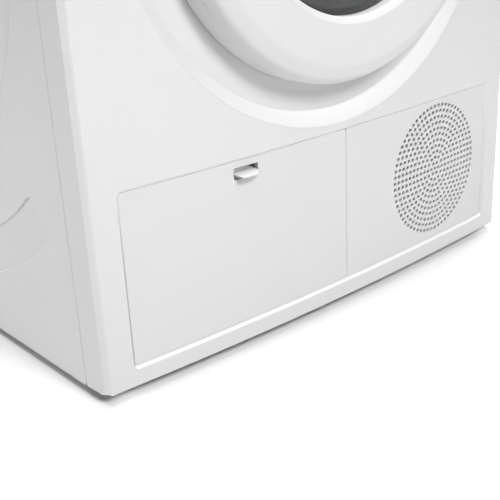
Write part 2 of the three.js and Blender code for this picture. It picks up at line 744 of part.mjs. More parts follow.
function drumSeal() {
  return ringOf(262, 236, DRUM_FRONT - 11.5, DRUM_FRONT - 0.6, 40);
}

function lintFilter() {
  const frame = 5;
  const window = box(
    -FILTER_HALF + frame,
    FILTER_HALF - frame,
    FILTER_FRONT - CUT,
    FILTER_BACK - 2,
    222,
    290,
  );
  return box(-FILTER_HALF, FILTER_HALF, FILTER_FRONT, FILTER_BACK, 216, 299)
    .add(box(-20, 20, FILTER_FRONT + 4, FILTER_BACK - 4, 298, 307))
    .subtract(window);
}

function rearBulkhead() {
  const y0 = REAR_WALL - CUT;
  const y1 = REAR_WALL + CUT;
  return bulkheadPlate(196, REAR_WALL, REAR_WALL + SHEET)
    .subtract(barY(16, y0, y1, 0, DRUM_Z))
    .subtract(box(188, 247, y0, y1, 203, 235))
    .subtract(wasm.Manifold.union(airHoles(26, y0, y1)));
}

// A ring of round air holes about the drum's axis.
function airHoles(radius, y0, y1) {
  const count = 8;
  return Array.from({ length: count }, (_, i) => {
    const angle = (2 * Math.PI * (i + 0.5)) / count;
    return barY(radius, y0, y1, AIR_RING * Math.cos(angle), DRUM_Z + AIR_RING * Math.sin(angle), 8);
  });
}

function bearingBush() {
  return ringOf(15.6, 10.4, 240, 256, 24);
}

function drumShell() {
  return turned([
    [DRUM_LIP, DRUM_FRONT],
    [DRUM_RADIUS, DRUM_FRONT],
    [DRUM_RADIUS, DRUM_BACK],
    [DRUM_RADIUS - THIN_SHEET, DRUM_BACK],
    [DRUM_RADIUS - THIN_SHEET, DRUM_FRONT + THIN_SHEET],
    [DRUM_LIP, DRUM_FRONT + THIN_SHEET],
  ], 48);
}

function drumBack() {
  const holes = airHoles(22, DRUM_BACK - CUT, DRUM_BACK + 20);
  const disc = turned([
    [0, DRUM_BACK + GAP],
    [DRUM_RADIUS, DRUM_BACK + GAP],
    [DRUM_RADIUS, DRUM_BACK + GAP + THIN_SHEET],
    [40, DRUM_BACK + GAP + THIN_SHEET],
    [30, DRUM_BACK + 6],
    [10, DRUM_BACK + 6],
    [10, DRUM_BACK + 32],
    [0, DRUM_BACK + 32],
  ], 48);
  return disc.subtract(wasm.Manifold.union(holes).translate([0, 0, -DRUM_Z]));
}

// A ridge along the drum's inside that lifts the load, drawn at the bottom of the drum.
function lifter() {
  const section = outlineOf([
    [-30, -260.5],
    [30, -260.5],
    [9, -204],
    [0, -199],
    [-9, -204],
  ]);
  return runBack(section, DRUM_FRONT + 28, DRUM_BACK - 32);
}

node(dryer, 'front_bulkhead', 'greyPlastic', frontBulkhead());
node(dryer, 'rear_bulkhead', 'galvanised', rearBulkhead());
node(dryer, 'lint_filter', 'darkPlastic', lintFilter());
const drum = groupAt(dryer, 0, 0, DRUM_Z);
node(drum, 'drum_seal', 'felt', drumSeal());
node(drum, 'bearing_bush', 'bronze', bearingBush());
node(drum, 'drum_shell', 'stainless', drumShell());
node(drum, 'drum_back', 'stainless', drumBack());
for (let i = 0; i < 3; i += 1) {
  const mesh = node(drum, 'lifter_' + (i + 1), 'whitePlastic', lifter());
  mesh.rotation.y = (2 * Math.PI * i) / 3;
}

// ---- Door ----

const door = groupAt(dryer, 0, 0, MOUTH_Z);

function doorFrame() {
  const ring = turned([
    [WINDOW_RADIUS, -300],
    [WINDOW_RADIUS, -316],
    [WINDOW_RADIUS + 7, DOOR_FRONT],
    [DOOR_RADIUS - 20, DOOR_FRONT],
    [DOOR_RADIUS - 5, -312],
    [DOOR_RADIUS, -300],
    [DOOR_RADIUS, DOOR_BACK],
    [DOOR_RADIUS - 3, DOOR_BACK],
    [DOOR_RADIUS - 3, -299],
    [DOOR_RADIUS - 7, -309],
    [DOOR_RADIUS - 21, DOOR_FRONT + 3],
    [WINDOW_RADIUS + 8, DOOR_FRONT + 3],
    [WINDOW_RADIUS + 3, -314],
    [WINDOW_RADIUS + 3, -300],
  ], 40);
  return ring.subtract(box(-DOOR_RADIUS - 5, -DOOR_RADIUS + 12, -302, -281, -48, 48));
}

function doorInnerRing() {
  return turned([
    [WINDOW_RADIUS + 3.4, -299],
    [WINDOW_RADIUS + 6.4, -299],
    [WINDOW_RADIUS + 6.4, -280.6],
    [DOOR_RADIUS - 3.4, -280.6],
    [DOOR_RADIUS - 3.4, DOOR_BACK],
    [168, DOOR_BACK],
    [168, -268.8],
    [164, -268.8],
    [164, DOOR_BACK],
    [WINDOW_RADIUS + 3.4, DOOR_BACK],
  ], 40);
}

function doorWindow() {
  const rim = WINDOW_RADIUS - GAP;
  return turned([
    [0, -314],
    [70, -312.5],
    [rim, -306],
    [rim, -302],
    [70, -308.5],
    [0, -310],
  ], 40);
}

function doorHook() {
  const tip = -260;
  const half = 5;
  return box(-193, -187, DOOR_BACK + GAP, tip, -half, half)
    .add(box(-197, -192, tip - 4, tip, -half, half));
}

// The fixed half of the hinge: a plate on the dish, two arms and the pin.
function hingeBracket() {
  const half = 45;
  const arm = 6;
  const x0 = HINGE_X - 5;
  const x1 = HINGE_X + 5;
  return box(212, 224, -279, DISH_FLOOR - GAP, -half, half)
    .add(box(x0, x1, HINGE_Y - 5, -277, -half, -half + arm))
    .add(box(x0, x1, HINGE_Y - 5, -277, half - arm, half))
    .add(barZ(3, -half, half, HINGE_X, HINGE_Y, 12));
}

// The door's half of the hinge, curved to sit against the edge of the frame.
function doorHinge() {
  return box(196, 221, HINGE_Y - 5, HINGE_Y + 5, -36, 36)
    .subtract(barY(DOOR_RADIUS + 1, -330, -270, 0, 0, 48))
    .subtract(barZ(3.4, -50, 50, HINGE_X, HINGE_Y, 12));
}

node(door, 'door_frame', 'whitePlastic', doorFrame());
node(door, 'door_window', 'smokedGlass', doorWindow());
node(door, 'door_inner_ring', 'greyPlastic', doorInnerRing());
node(door, 'door_seal', 'rubber', ringOf(171, 168.9, DOOR_BACK + 1, -270, 40));
node(door, 'door_hook', 'steel', doorHook());
node(door, 'door_hinge', 'steel', doorHinge());
node(door, 'hinge_bracket', 'steel', hingeBracket());

// ---- Water drawer and controls ----

function drawerFront() {
  const back = FRONT + 15.5;
  const grip = box(-240, -165, FRONT - 20, FRONT + 12, DRAWER_LOW + 5, DRAWER_LOW + 25);
  const left = DRAWER_LEFT + GAP;
  const right = DRAWER_RIGHT - GAP;
  const low = DRAWER_LOW + 2;
  const face = bowedPlate(left, right, DRAWER_LOW + GAP, DRAWER_HIGH - GAP, 0, 8);
  const block = box(left + 4, right - 4, frontAt(DRAWER_LEFT) + 4, back, low, low + 38);
  return face.add(block).subtract(grip);
}

// An open-topped box with walls of the given thickness.
function trough(x0, x1, y0, y1, z0, z1, wall) {
  const inside = box(x0 + wall, x1 - wall, y0 + wall, y1 - wall, z0 + wall, z1 + CUT);
  return box(x0, x1, y0, y1, z0, z1).subtract(inside);
}

function drawerHousing() {
  const wall = 2;
  const left = DRAWER_LEFT - 1.5;
  const right = DRAWER_RIGHT + 0.5;
  const back = 212;
  const inside = box(left + wall, right - wall, -270, back - wall, DRAWER_LOW - 1, DRAWER_HIGH + 1.5);
  return box(left, right, -262, back, DRAWER_LOW - 3.5, DRAWER_HIGH + 3.5).subtract(inside);
}

function controlModule() {
  const front = -262;
  const wall = 3;
  return box(40, 262, front, BULKHEAD_FRONT - 1, 730, 802)
    .subtract(box(40 + wall, 262 - wall, front + wall, BULKHEAD_FRONT + CUT, 730 + wall, 802 - wall));
}

function displayWindow() {
  return bowedPlate(SCREEN_LEFT + GAP, SCREEN_RIGHT - GAP, SCREEN_LOW + GAP, SCREEN_HIGH - GAP, 0.3, 2.5);
}

function programmeKnob() {
  return turned([
    [0, -22],
    [23, -22],
    [26, -19],
    [27, -1],
    [7, -1],
    [7, 18],
    [0, 18],
  ], 40).add(box(-1, 1, -23, -20, 8, 22));
}

// A round key that stands 1.5 mm proud of the fascia, drawn about the fascia's face.
function roundKey(radius) {
  return barY(radius, -1.5, 6, 0, 0, 24).add(barY(3, 5, 20, 0, 0, 8));
}

function optionKey() {
  return box(-10, 10, -1.5, 6, -5, 5).add(barY(3, 5, 20, 0, 0, 8));
}

node(dryer, 'drawer_front', 'whitePlastic', drawerFront());
node(dryer, 'drawer_tank', 'whitePlastic', trough(-278, -126, FRONT + 16, 200, 731, 797, 2.5));
node(dryer, 'drawer_housing', 'greyPlastic', drawerHousing());
node(dryer, 'control_module', 'darkPlastic', controlModule());
node(dryer, 'display_window', 'blackGloss', displayWindow());
node(groupAt(dryer, 0, frontAt(0), DIAL_Z), 'programme_knob', 'stainless', programmeKnob());
node(groupAt(dryer, POWER_X, frontAt(POWER_X), DIAL_Z), 'power_button', 'whitePlastic', roundKey(9));
node(groupAt(dryer, START_X, frontAt(START_X), DIAL_Z), 'start_button', 'whitePlastic', roundKey(13));
OPTION_XS.forEach((x, i) => {
  node(groupAt(dryer, x, frontAt(x), OPTION_Z), 'option_button_' + (i + 1), 'whitePlastic', optionKey());
});

export default dryer;
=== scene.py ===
"""A front-loading condenser tumble dryer: the visual model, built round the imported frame.

Every length below is in millimetres. Blender's metres are made in Shape.object().
"""
import json
import math

import bpy
import numpy as np
from mathutils import Matrix, Vector
from mathutils.geometry import delaunay_2d_cdt


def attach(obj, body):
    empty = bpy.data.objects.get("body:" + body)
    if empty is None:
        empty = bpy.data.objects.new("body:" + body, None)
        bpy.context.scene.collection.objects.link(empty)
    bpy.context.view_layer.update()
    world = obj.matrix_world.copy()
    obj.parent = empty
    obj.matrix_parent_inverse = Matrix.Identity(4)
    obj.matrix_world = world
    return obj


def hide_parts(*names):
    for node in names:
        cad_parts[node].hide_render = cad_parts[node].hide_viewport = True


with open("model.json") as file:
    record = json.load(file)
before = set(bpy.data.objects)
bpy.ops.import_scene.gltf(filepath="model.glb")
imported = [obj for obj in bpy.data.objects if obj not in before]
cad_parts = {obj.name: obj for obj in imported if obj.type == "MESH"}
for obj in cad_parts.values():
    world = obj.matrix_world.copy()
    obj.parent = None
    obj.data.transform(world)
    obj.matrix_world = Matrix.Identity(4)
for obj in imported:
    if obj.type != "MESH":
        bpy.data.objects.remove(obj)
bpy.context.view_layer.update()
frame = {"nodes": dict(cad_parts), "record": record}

MM = 0.001

# ---- The cabinet's main dimensions ----

HALF_WIDTH = 299
FRONT = -280
REAR = 310
BOW = 11
BOW_HALF = 293
CORNER_TILT = math.atan(2 * BOW / BOW_HALF)
CORNER_RADIUS = (HALF_WIDTH - BOW_HALF) / (1 - math.sin(CORNER_TILT))
CORNER_ARC = CORNER_RADIUS * (math.pi / 2 - CORNER_TILT)
CORNER_Y = FRONT + CORNER_RADIUS * math.cos(CORNER_TILT)
CORNER_BEND = 0.4  # the share of the corner that bends
RETURN_INSET = 0.2  # how far the front's returns lie below the side panels
RETURN_BACK = -243.5
RETURN_END = BOW_HALF + CORNER_ARC + RETURN_BACK - CORNER_Y  # the same, measured along the sheet
CREASE_RUN = 1.5  # insets swing round to the side over this much of the corner's end
PANEL_BOTTOM = 11.6
PANEL_TOP = 711
FASCIA_BOTTOM = 712
FASCIA_TOP = 812.5
SIDE_BOTTOM = 8
MOUTH_Z = 459
MOUTH_RADIUS = 178
DRUM_Z = 480
SERVICE_DEPTH = 2.5
LATCH_X = -126.5
LATCH_Z = 186
DIAL_Z = 762


# ---- Shapes ----


class Shape:
    """Points and faces, with a normal for each corner of a face where it is known."""

    def __init__(self, points=(), faces=(), normals=None):
        self.points = np.asarray(points, float).reshape(-1, 3)
        self.faces = [list(face) for face in faces]
        corners = sum(len(face) for face in self.faces)
        self.normals = np.zeros((corners, 3)) if normals is None else np.asarray(normals, float)

    def __add__(self, other):
        shift = len(self.points)
        faces = self.faces + [[i + shift for i in face] for face in other.faces]
        points = np.vstack([self.points, other.points])
        return Shape(points, faces, np.vstack([self.normals, other.normals]))

    def moved(self, x=0, y=0, z=0):
        return Shape(self.points + (x, y, z), self.faces, self.normals)

    def turned(self, axis, degrees, about):
        turn = np.array(Matrix.Rotation(math.radians(degrees), 3, axis))
        points = (self.points - about) @ turn.T + about
        return Shape(points, self.faces, self.normals @ turn.T)

    def mirrored(self):
        """The same shape on the other side of the middle plane."""
        flip = np.array([-1, 1, 1])
        corners, start = [], 0
        for face in self.faces:
            corners.append(self.normals[start:start + len(face)][::-1] * flip)
            start += len(face)
        normals = np.vstack(corners)
        return Shape(self.points * flip, [face[::-1] for face in self.faces], normals)

    def object(self, name, sharp):
        mesh = bpy.data.meshes.new(name)
        mesh.from_pydata((self.points * MM).tolist(), [], self.faces)
        mesh.polygons.foreach_set("use_smooth", [True] * len(mesh.polygons))
        mesh.update()
        mesh.set_sharp_from_angle(angle=math.radians(sharp))
        if np.any(self.normals):
            mesh.normals_split_custom_set(self.normals.tolist())
        return placed(name, mesh)


def placed(name, data):
    """A new object in the scene."""
    made = bpy.data.objects.new(name, data)
    bpy.context.scene.collection.objects.link(made)
    return made


def add(name, shape, body, material, nodes=(), sharp=35):
    """Puts a piece on a body, in a finish, standing for the CAD nodes named."""
    piece = shape.object(name, sharp)
    piece.data.materials.append(material)
    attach(piece, body)
    if nodes:
        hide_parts(*([nodes] if isinstance(nodes, str) else nodes))
    return piece


def rounded_box_distance(p, q, half_p, half_q, radius):
    """How far outside a rounded rectangle about the origin each point is."""
    dp = np.abs(p) - half_p + radius
    dq = np.abs(q) - half_q + radius
    outside = np.hypot(np.maximum(dp, 0), np.maximum(dq, 0))
    return outside + np.minimum(np.maximum(dp, dq), 0) - radius


def rounded_box_loop(half_p, half_q, radius, steps, along=0):
    """The rectangle's outline, anticlockwise. Its straight sides get along points between their ends."""
    radius = max(radius, 0.02)
    loop = []
    for quarter, (sign_p, sign_q) in enumerate(((1, 1), (-1, 1), (-1, -1), (1, -1))):
        for step in range(steps + 1):
            angle = quarter * math.pi / 2 + math.pi / 2 * step / steps
            p = sign_p * (half_p - radius) + radius * math.cos(angle)
            q = sign_q * (half_q - radius) + radius * math.sin(angle)
            loop.append((p, q))
        end_p, end_q = (-p, q) if quarter in (0, 2) else (p, -q)
        for step in range(1, along + 1):
            share = step / (along + 1)
            loop.append((p + (end_p - p) * share, q + (end_q - q) * share))
    return loop


def boxed(half_p, half_q, corner, cx, cz, steps=4):
    """A rounded rectangle's outline about (cx, cz)."""
    return [(p + cx, q + cz) for p, q in rounded_box_loop(half_p, half_q, corner, steps)]


def nested(half_p, half_q, corner, cx, cz, steps, insets):
    """Rounded rectangles about (cx, cz), each one inset from the first size by its own amount."""
    return [boxed(half_p - inset, half_q - inset, corner - inset, cx, cz, steps) for inset in insets]


def middle_of(x0, x1, z0, z1):
    """A rectangle's centre, and half its width and height."""
    return (x0 + x1) / 2, (z0 + z1) / 2, (x1 - x0) / 2, (z1 - z0) / 2


def rectangle(x0, x1, z0, z1):
    return [(x0, z0), (x1, z0), (x1, z1), (x0, z1)]


def in_rectangle(u, v, x0, x1, z0, z1):
    return (u > x0) & (u < x1) & (v > z0) & (v < z1)


def circle(cx, cy, radius, sides):
    angles = np.linspace(0, 2 * math.pi, sides, endpoint=False)
    return [(cx + radius * math.cos(a), cy + radius * math.sin(a)) for a in angles]


def sheet(closed, opened, keep, place, thickness):
    """A sheet of even thickness. The flat loops are filled with triangles, and place(u, v) lifts them."""
    flat, edges = [], []
    for loop, is_closed in [(loop, True) for loop in closed] + [(line, False) for line in opened]:
        first = len(flat)
        flat.extend(Vector(point) for point in loop)
        edges.extend((i, i + 1) for i in range(first, len(flat) - 1))
        if is_closed:
            edges.append((len(flat) - 1, first))
    verts, _, faces, *_ = delaunay_2d_cdt(flat, edges, [], 0, 1e-4)
    uv = np.array([tuple(v) for v in verts])
    tris = np.array([face for face in faces if len(face) == 3])
    a, b, c = uv[tris[:, 0]], uv[tris[:, 1]], uv[tris[:, 2]]
    area = (b[:, 0] - a[:, 0]) * (c[:, 1] - a[:, 1]) - (b[:, 1] - a[:, 1]) * (c[:, 0] - a[:, 0])
    tris[area < 0] = tris[area < 0][:, ::-1]
    centre = (a + b + c) / 3
    tris = tris[keep(centre[:, 0], centre[:, 1]) & (np.abs(area) > 1e-5)]
    used, tris = np.unique(tris, return_inverse=True)
    tris = tris.reshape(-1, 3)
    u, v = uv[used].T
    step = 0.02
    front = place(u, v)
    across = place(u + step, v) - place(u - step, v)
    up = place(u, v + step) - place(u, v - step)
    normal = np.cross(across, up)
    normal /= np.linalg.norm(normal, axis=1)[:, None]
    count = len(front)
    back = front - normal * thickness
    seen = {(int(i), int(j)) for t in tris for i, j in zip(t, np.roll(t, -1))}
    rims = [(j, i, i + count, j + count) for i, j in seen if (j, i) not in seen]
    rims.sort()
    faces = tris.tolist() + (tris[:, ::-1] + count).tolist() + rims
    normals = np.vstack([
        normal[tris.ravel()],
        -normal[tris[:, ::-1].ravel()],
        np.zeros((4 * len(rims), 3)),
    ])
    return Shape(np.vstack([front, back]), faces, normals)


def fillet(points, radii, steps=4, closed=True):
    """Rounds the corners of an outline. radii is one radius, or one for each corner."""
    count = len(points)
    radii = [radii] * count if np.isscalar(radii) else radii
    out = []
    for i, (point, radius) in enumerate(zip(points, radii)):
        if radius <= 0 or (not closed and i in (0, count - 1)):
            out.append(tuple(point))
            continue
        here = np.array(point, float)
        before = np.array(points[i - 1], float) - here
        after = np.array(points[(i + 1) % count], float) - here
        reach = min(np.linalg.norm(before), np.linalg.norm(after)) * 0.49
        before /= np.linalg.norm(before)
        after /= np.linalg.norm(after)
        half = math.acos(np.clip(before @ after, -1, 1)) / 2
        if half > math.radians(88):
            out.append(tuple(point))
            continue
        length = min(radius / math.tan(half), reach)
        radius = length * math.tan(half)
        start, end = here + before * length, here + after * length
        middle = here + (before + after) / np.linalg.norm(before + after) * radius / math.sin(half)
        a0 = math.atan2(*(start - middle)[::-1])
        turn = math.atan2(*(end - middle)[::-1]) - a0
        turn = (turn + math.pi) % (2 * math.pi) - math.pi
        for step in range(steps + 1):
            angle = a0 + turn * step / steps
            out.append((middle[0] + radius * math.cos(angle), middle[1] + radius * math.sin(angle)))
    return out


AXES = {"x": (1, 2, 0), "y": (0, 2, 1), "z": (0, 1, 2)}


def outward(shape):
    """Turns a closed shape's faces so that they look outwards."""
    volume = 0.0
    for face in shape.faces:
        a = shape.points[face[0]]
        for i in range(1, len(face) - 1):
            volume += np.dot(a, np.cross(shape.points[face[i]], shape.points[face[i + 1]]))
    if volume < 0:
        shape.faces = [face[::-1] for face in shape.faces]
    return shape


def ringed(rings, closed=False):
    """Skins a stack of loops of as many points each. It is capped, or else closes on itself."""
    levels, count = len(rings), len(rings[0])
    faces = []
    for low in range(levels if closed else levels - 1):
        a, b = low * count, (low + 1) % levels * count
        for i in range(count):
            j = (i + 1) % count
            faces.append([a + i, a + j, b + j, b + i])
    if not closed:
        faces.append(list(range(count))[::-1])
        faces.append([(levels - 1) * count + i for i in range(count)])
    return outward(Shape(rings, faces))


def turned_points(profile, centre, axis, sides, push):
    """An outline of (radius, height) at each angle about an axis. push(angle, r, h) gives a new radius."""
    i, j, k = AXES[axis]
    points = np.zeros((sides, len(profile), 3))
    for turn, angle in enumerate(np.linspace(0, 2 * math.pi, sides, endpoint=False)):
        for n, (radius, height) in enumerate(profile):
            reach = push(angle, radius, height) if push else radius
            points[turn, n, i] = reach * math.cos(angle)
            points[turn, n, j] = reach * math.sin(angle)
            points[turn, n, k] = height
    return points + centre


def lathe(profile, centre, axis, sides, push=None):
    """Turns a closed outline about an axis."""
    return ringed(turned_points(profile, centre, axis, sides, push), closed=True)


def spun(profile, centre, axis, sides, push=None):
    """Turns an open outline, from the axis back to the axis, into a solid. Radii are over 0."""
    return ringed(turned_points(profile, centre, axis, sides, push).transpose(1, 0, 2))


def shrunk(outline, inset):
    """An outline moved inwards by inset, corner by corner."""
    points = np.asarray(outline, float)
    following = np.roll(points, -1, axis=0)
    area = np.sum(points[:, 0] * following[:, 1] - following[:, 0] * points[:, 1])
    edge = following - points
    edge /= np.maximum(np.linalg.norm(edge, axis=1), 1e-9)[:, None]
    inward = np.sign(area) * np.column_stack([-edge[:, 1], edge[:, 0]])
    before = np.roll(inward, 1, axis=0)
    miter = before + inward
    miter /= np.maximum(np.sum(miter * before, axis=1), 0.3)[:, None]
    return points + miter * inset


def prism(outline, low, high, axis, edge, steps=3):
    """An outline raised along an axis, with the edges of both ends rounded."""
    i, j, k = AXES[axis]
    levels = [(0.0, low), (0.0, high)]
    if edge:
        angles = [math.pi / 2 * s / steps for s in range(steps + 1)]
        lower = [(edge * (1 - math.sin(a)), low + edge * (1 - math.cos(a))) for a in angles]
        levels = lower + [(inset, high + low - height) for inset, height in lower[::-1]]
    rings = []
    for inset, height in levels:
        flat = shrunk(outline, inset) if inset else np.asarray(outline, float)
        ring = np.zeros((len(flat), 3))
        ring[:, i], ring[:, j], ring[:, k] = flat[:, 0], flat[:, 1], height
        rings.append(ring)
    return ringed(rings)


def block(x0, x1, y0, y1, z0, z1, edge):
    """A block with rounded edges, upright."""
    return prism(fillet(rectangle(x0, x1, y0, y1), edge, 3), z0, z1, "z", edge)


def rod(radius, low, high, x, z, axis="y", edge=0.4):
    """A round bar with rounded ends. x and z are the centre's other two coordinates."""
    centre = {"x": (0, x, z), "y": (x, 0, z), "z": (x, z, 0)}[axis]
    profile = [(radius - edge, low), (radius, low + edge), (radius, high - edge), (radius - edge, high)]
    return spun(profile, centre, axis, 20)


# ---- Finishes ----

FINISHES = {}


def finish(slot, base, rough, *, spread, scale, grain, bump, metal=0.0, stretch=(1, 1, 1),
           wear=0.0, tint=None, cells=None, upper=None, **sockets):
    """A procedural finish: cloudy colour variation, fine grain in the bump, and patchy roughness; upper
    paints a highlight, a lighter base colour, onto slopes that face upward.
    """
    material = bpy.data.materials.new("mat_" + slot)
    material["slot"] = slot
    material.use_nodes = True
    tree = material.node_tree
    link = tree.links.new

    def setting(holder, **values):
        for key, value in values.items():
            holder.inputs[key.replace("_", " ")].default_value = value
        return holder

    def node(kind, sources=(), **values):
        made = setting(tree.nodes.new("ShaderNode" + kind), **values)
        for key, source in dict(sources).items():
            link(source, made.inputs[key])
        return made

    shader = setting(tree.nodes["Principled BSDF"], Metallic=metal, **sockets)
    spot = node("TexCoord").outputs["Object"]
    mapped = node("Mapping", {"Vector": spot}, Scale=stretch).outputs["Vector"]

    def noise(size, detail, vector=mapped):
        return node("TexNoise", {"Vector": vector}, Scale=size, Detail=detail).outputs["Fac"]

    def ramp(source, stops):
        made = node("ValToRGB", {"Fac": source})
        for element, (position, colour) in zip(made.color_ramp.elements, stops):
            element.position = position
            element.color = colour
        return made.outputs["Color"]

    def ranged(source, low, high, start=0.3, end=0.7):
        limits = {"From_Min": start, "From_Max": end, "To_Min": low, "To_Max": high}
        return node("MapRange", {"Value": source}, **limits).outputs["Result"]

    def mixed(colour, other, share):
        made = node("Mix")
        made.data_type = "RGBA"
        link(share, made.inputs["Factor"])
        link(colour, made.inputs[6])
        made.inputs[7].default_value = (*other, 1)
        return made.outputs[2]

    def height_of(vector):
        return node("SeparateXYZ", {"Vector": vector}).outputs["Z"]

    base = np.array(base, float)
    dark, light = [(*np.clip(base * share, 0, 1), 1) for share in (1 - spread, 1 + spread)]
    if cells:
        plates = node("TexVoronoi", {"Vector": mapped}, Scale=cells).outputs["Color"]
        red = node("SeparateColor", {"Color": plates}).outputs["Red"]
        colour = ramp(red, [(0.0, dark), (1.0, light)])
    else:
        colour = ramp(noise(scale, 3), [(0.32, dark), (0.68, light)])
    if tint is not None:
        # a film of dust near the floor, in patches
        amount = node("Math")
        amount.operation = "MULTIPLY"
        link(ranged(height_of(spot), wear, 0.0, 0.0, 0.07), amount.inputs[0])
        link(ranged(noise(18.0, 5, spot), 0.2, 1.0), amount.inputs[1])
        colour = mixed(colour, tint, amount.outputs[0])
    if upper is not None:
        # painted highlight: slopes that face upward are lightened towards the upper grey, standing in for
        # light from above
        up_normal_for_painted_highlight = height_of(node("NewGeometry").outputs["Normal"])
        colour = mixed(colour, (upper, upper, upper), ranged(up_normal_for_painted_highlight, 0.0, 1.0, 0.3, 0.75))
    link(colour, shader.inputs["Base Color"])
    link(ranged(noise(scale * 1.7, 4), rough * 0.88, min(1.0, rough * 1.14)), shader.inputs["Roughness"])
    relief = node("Bump", {"Height": noise(grain, 2)}, Strength=bump, Distance=0.001)
    link(relief.outputs["Normal"], shader.inputs["Normal"])
    FINISHES[slot] = material
    return material


DUST = (0.62, 0.60, 0.57)
# upper=0.86 paints a highlight into the enamel's colour on every slope that faces upward
ENAMEL = finish("enamel", (0.60, 0.60, 0.60), 0.34, spread=0.006, scale=5, grain=700, bump=0.03,
                wear=0.05, tint=DUST, upper=0.86, Coat_Weight=0.15, Coat_Roughness=0.12)
# upper=0.86 paints a highlight into the plastic's colour on every slope that faces upward
PLASTIC = finish("white_plastic", (0.595, 0.595, 0.595), 0.46, spread=0.008, scale=7, grain=2600, bump=0.06,
                 wear=0.04, tint=DUST, upper=0.86)
LAMINATE = finish("top_laminate", (0.62, 0.62, 0.615), 0.42, spread=0.02, scale=600, grain=1800, bump=0.08)
GREY = finish("grey_plastic", (0.40, 0.415, 0.425), 0.55, spread=0.05, scale=30, grain=1800, bump=0.10,
              wear=0.25, tint=DUST)
DARK = finish("dark_plastic", (0.035, 0.038, 0.042), 0.5, spread=0.12, scale=35, grain=1600, bump=0.10)
DISPLAY = finish("display", (0.006, 0.007, 0.008), 0.08, spread=0.2, scale=20, grain=300, bump=0.004)
GLASS = finish("door_glass", (0.30, 0.315, 0.33), 0.04, spread=0.04, scale=8, grain=60, bump=0.006,
               Transmission_Weight=0.9, IOR=1.47)
ZINC = finish("galvanised", (0.56, 0.575, 0.585), 0.40, metal=0.9, spread=0.10, scale=25, grain=500,
              bump=0.05, cells=90)
STAINLESS = finish("stainless", (0.60, 0.605, 0.61), 0.26, metal=1.0, spread=0.05, scale=60, grain=240,
                   bump=0.06, stretch=(1, 0.05, 1))
CHROME = finish("chromed", (0.72, 0.72, 0.73), 0.14, metal=1.0, spread=0.03, scale=30, grain=900, bump=0.02)
finish("aluminium", (0.62, 0.63, 0.64), 0.42, metal=0.95, spread=0.06, scale=50, grain=700, bump=0.08)
RUBBER = finish("rubber", (0.030, 0.031, 0.032), 0.82, spread=0.25, scale=45, grain=1300, bump=0.25,
                wear=0.35, tint=(0.25, 0.24, 0.22))
SEAL = finish("door_rubber", (0.16, 0.165, 0.17), 0.75, spread=0.12, scale=45, grain=1500, bump=0.15)
finish("felt", (0.27, 0.26, 0.24), 0.95, spread=0.25, scale=420, grain=2200, bump=0.7, Sheen_Weight=0.3)
STEEL = finish("steel", (0.45, 0.46, 0.475), 0.33, metal=1.0, spread=0.08, scale=70, grain=1100, bump=0.06)
finish("bronze", (0.42, 0.25, 0.10), 0.38, metal=1.0, spread=0.14, scale=60, grain=1200, bump=0.08)

for part in frame["record"]["subparts"]:
    node_object = frame["nodes"][part["node"]]
    node_object.data.materials.clear()
    node_object.data.materials.append(FINISHES[part["material_slot"]])


# ---- The bowed front ----


def front_at(x):
    return FRONT - BOW * (1 - (x / BOW_HALF) ** 2)


def smooth(t):
    t = np.clip(t, 0, 1)
    return t * t * (3 - 2 * t)


def corner_course():
    """The corner in plan: a bend off the bow, then nearly flat up to the crease at the side."""
    share = np.linspace(0, 1, 101)
    wide, deep = HALF_WIDTH - RETURN_INSET - BOW_HALF, CORNER_Y - FRONT
    low, high = 0.5, 1.3
    for _ in range(30):
        last = (low + high) / 2
        turn = CORNER_TILT + (last - CORNER_TILT) * smooth(share / CORNER_BEND)
        x, y = (np.concatenate([[0], np.cumsum(f[1:] + f[:-1])]) for f in (np.cos(turn), np.sin(turn)))
        if y[-1] * wide < deep * x[-1]:
            low = last
        else:
            high = last
    return share * CORNER_ARC, turn, x * wide / x[-1], y * deep / y[-1]


CORNER_PAST, CORNER_TURN, CORNER_X, CORNER_DEEP = corner_course()


def wrap(u, v, inset):
    """Lays a point on the cabinet: across the bow, round the corner and back along the side."""
    side = np.sign(u)
    past = np.abs(u) - BOW_HALF
    angle = np.interp(past, CORNER_PAST, CORNER_TURN)
    angle = angle + (math.pi / 2 - angle) * np.clip(1 + (past - CORNER_ARC) / CREASE_RUN, 0, 1)
    slope = 2 * BOW * u / BOW_HALF ** 2
    tilt = np.where(past <= 0, np.arctan(slope), side * angle)
    x = np.where(past <= 0, u, side * (BOW_HALF + np.interp(past, CORNER_PAST, CORNER_X)))
    y = np.where(past <= 0, front_at(u), FRONT + np.interp(past, CORNER_PAST, CORNER_DEEP))
    y = y + np.maximum(past - CORNER_ARC, 0)
    return np.column_stack([x - np.sin(tilt) * inset, y + np.cos(tilt) * inset, v + 0 * u])


def bow_lines(u0, u1, v0, v1, step=22):
    """Upright lines that let the triangles follow the bow."""
    count = max(1, round((u1 - u0) / step))
    return [[(u, v0), (u, v1)] for u in np.linspace(u0, u1, count + 1)[1:-1]]


def corner_lines(shares, low, high):
    """Upright lines round both front corners."""
    spots = [BOW_HALF + CORNER_ARC * share for share in shares]
    return [[(side * u, low), (side * u, high)] for u in spots for side in (1, -1)]


def edge_drop(distance, radius):
    """How far a rounded edge falls away, this far in from the edge."""
    d = np.clip(distance, 0, radius)
    return radius - np.sqrt(np.maximum(radius ** 2 - (radius - d) ** 2, 0))


def slope_step(t, bend=0.3):
    """A straight slope from 0 to 1, with a bend at each end."""
    t = np.clip(t, 0, 1)
    rise = 1 / (1 - bend)
    lower = rise * t ** 2 / (2 * bend)
    upper = 1 - rise * (1 - t) ** 2 / (2 * bend)
    middle = rise * (t - bend / 2)
    return np.where(t < bend, lower, np.where(t > 1 - bend, upper, middle))


# ---- Front panel: a pressed sheet with the door's dish and the chamfered service opening ----

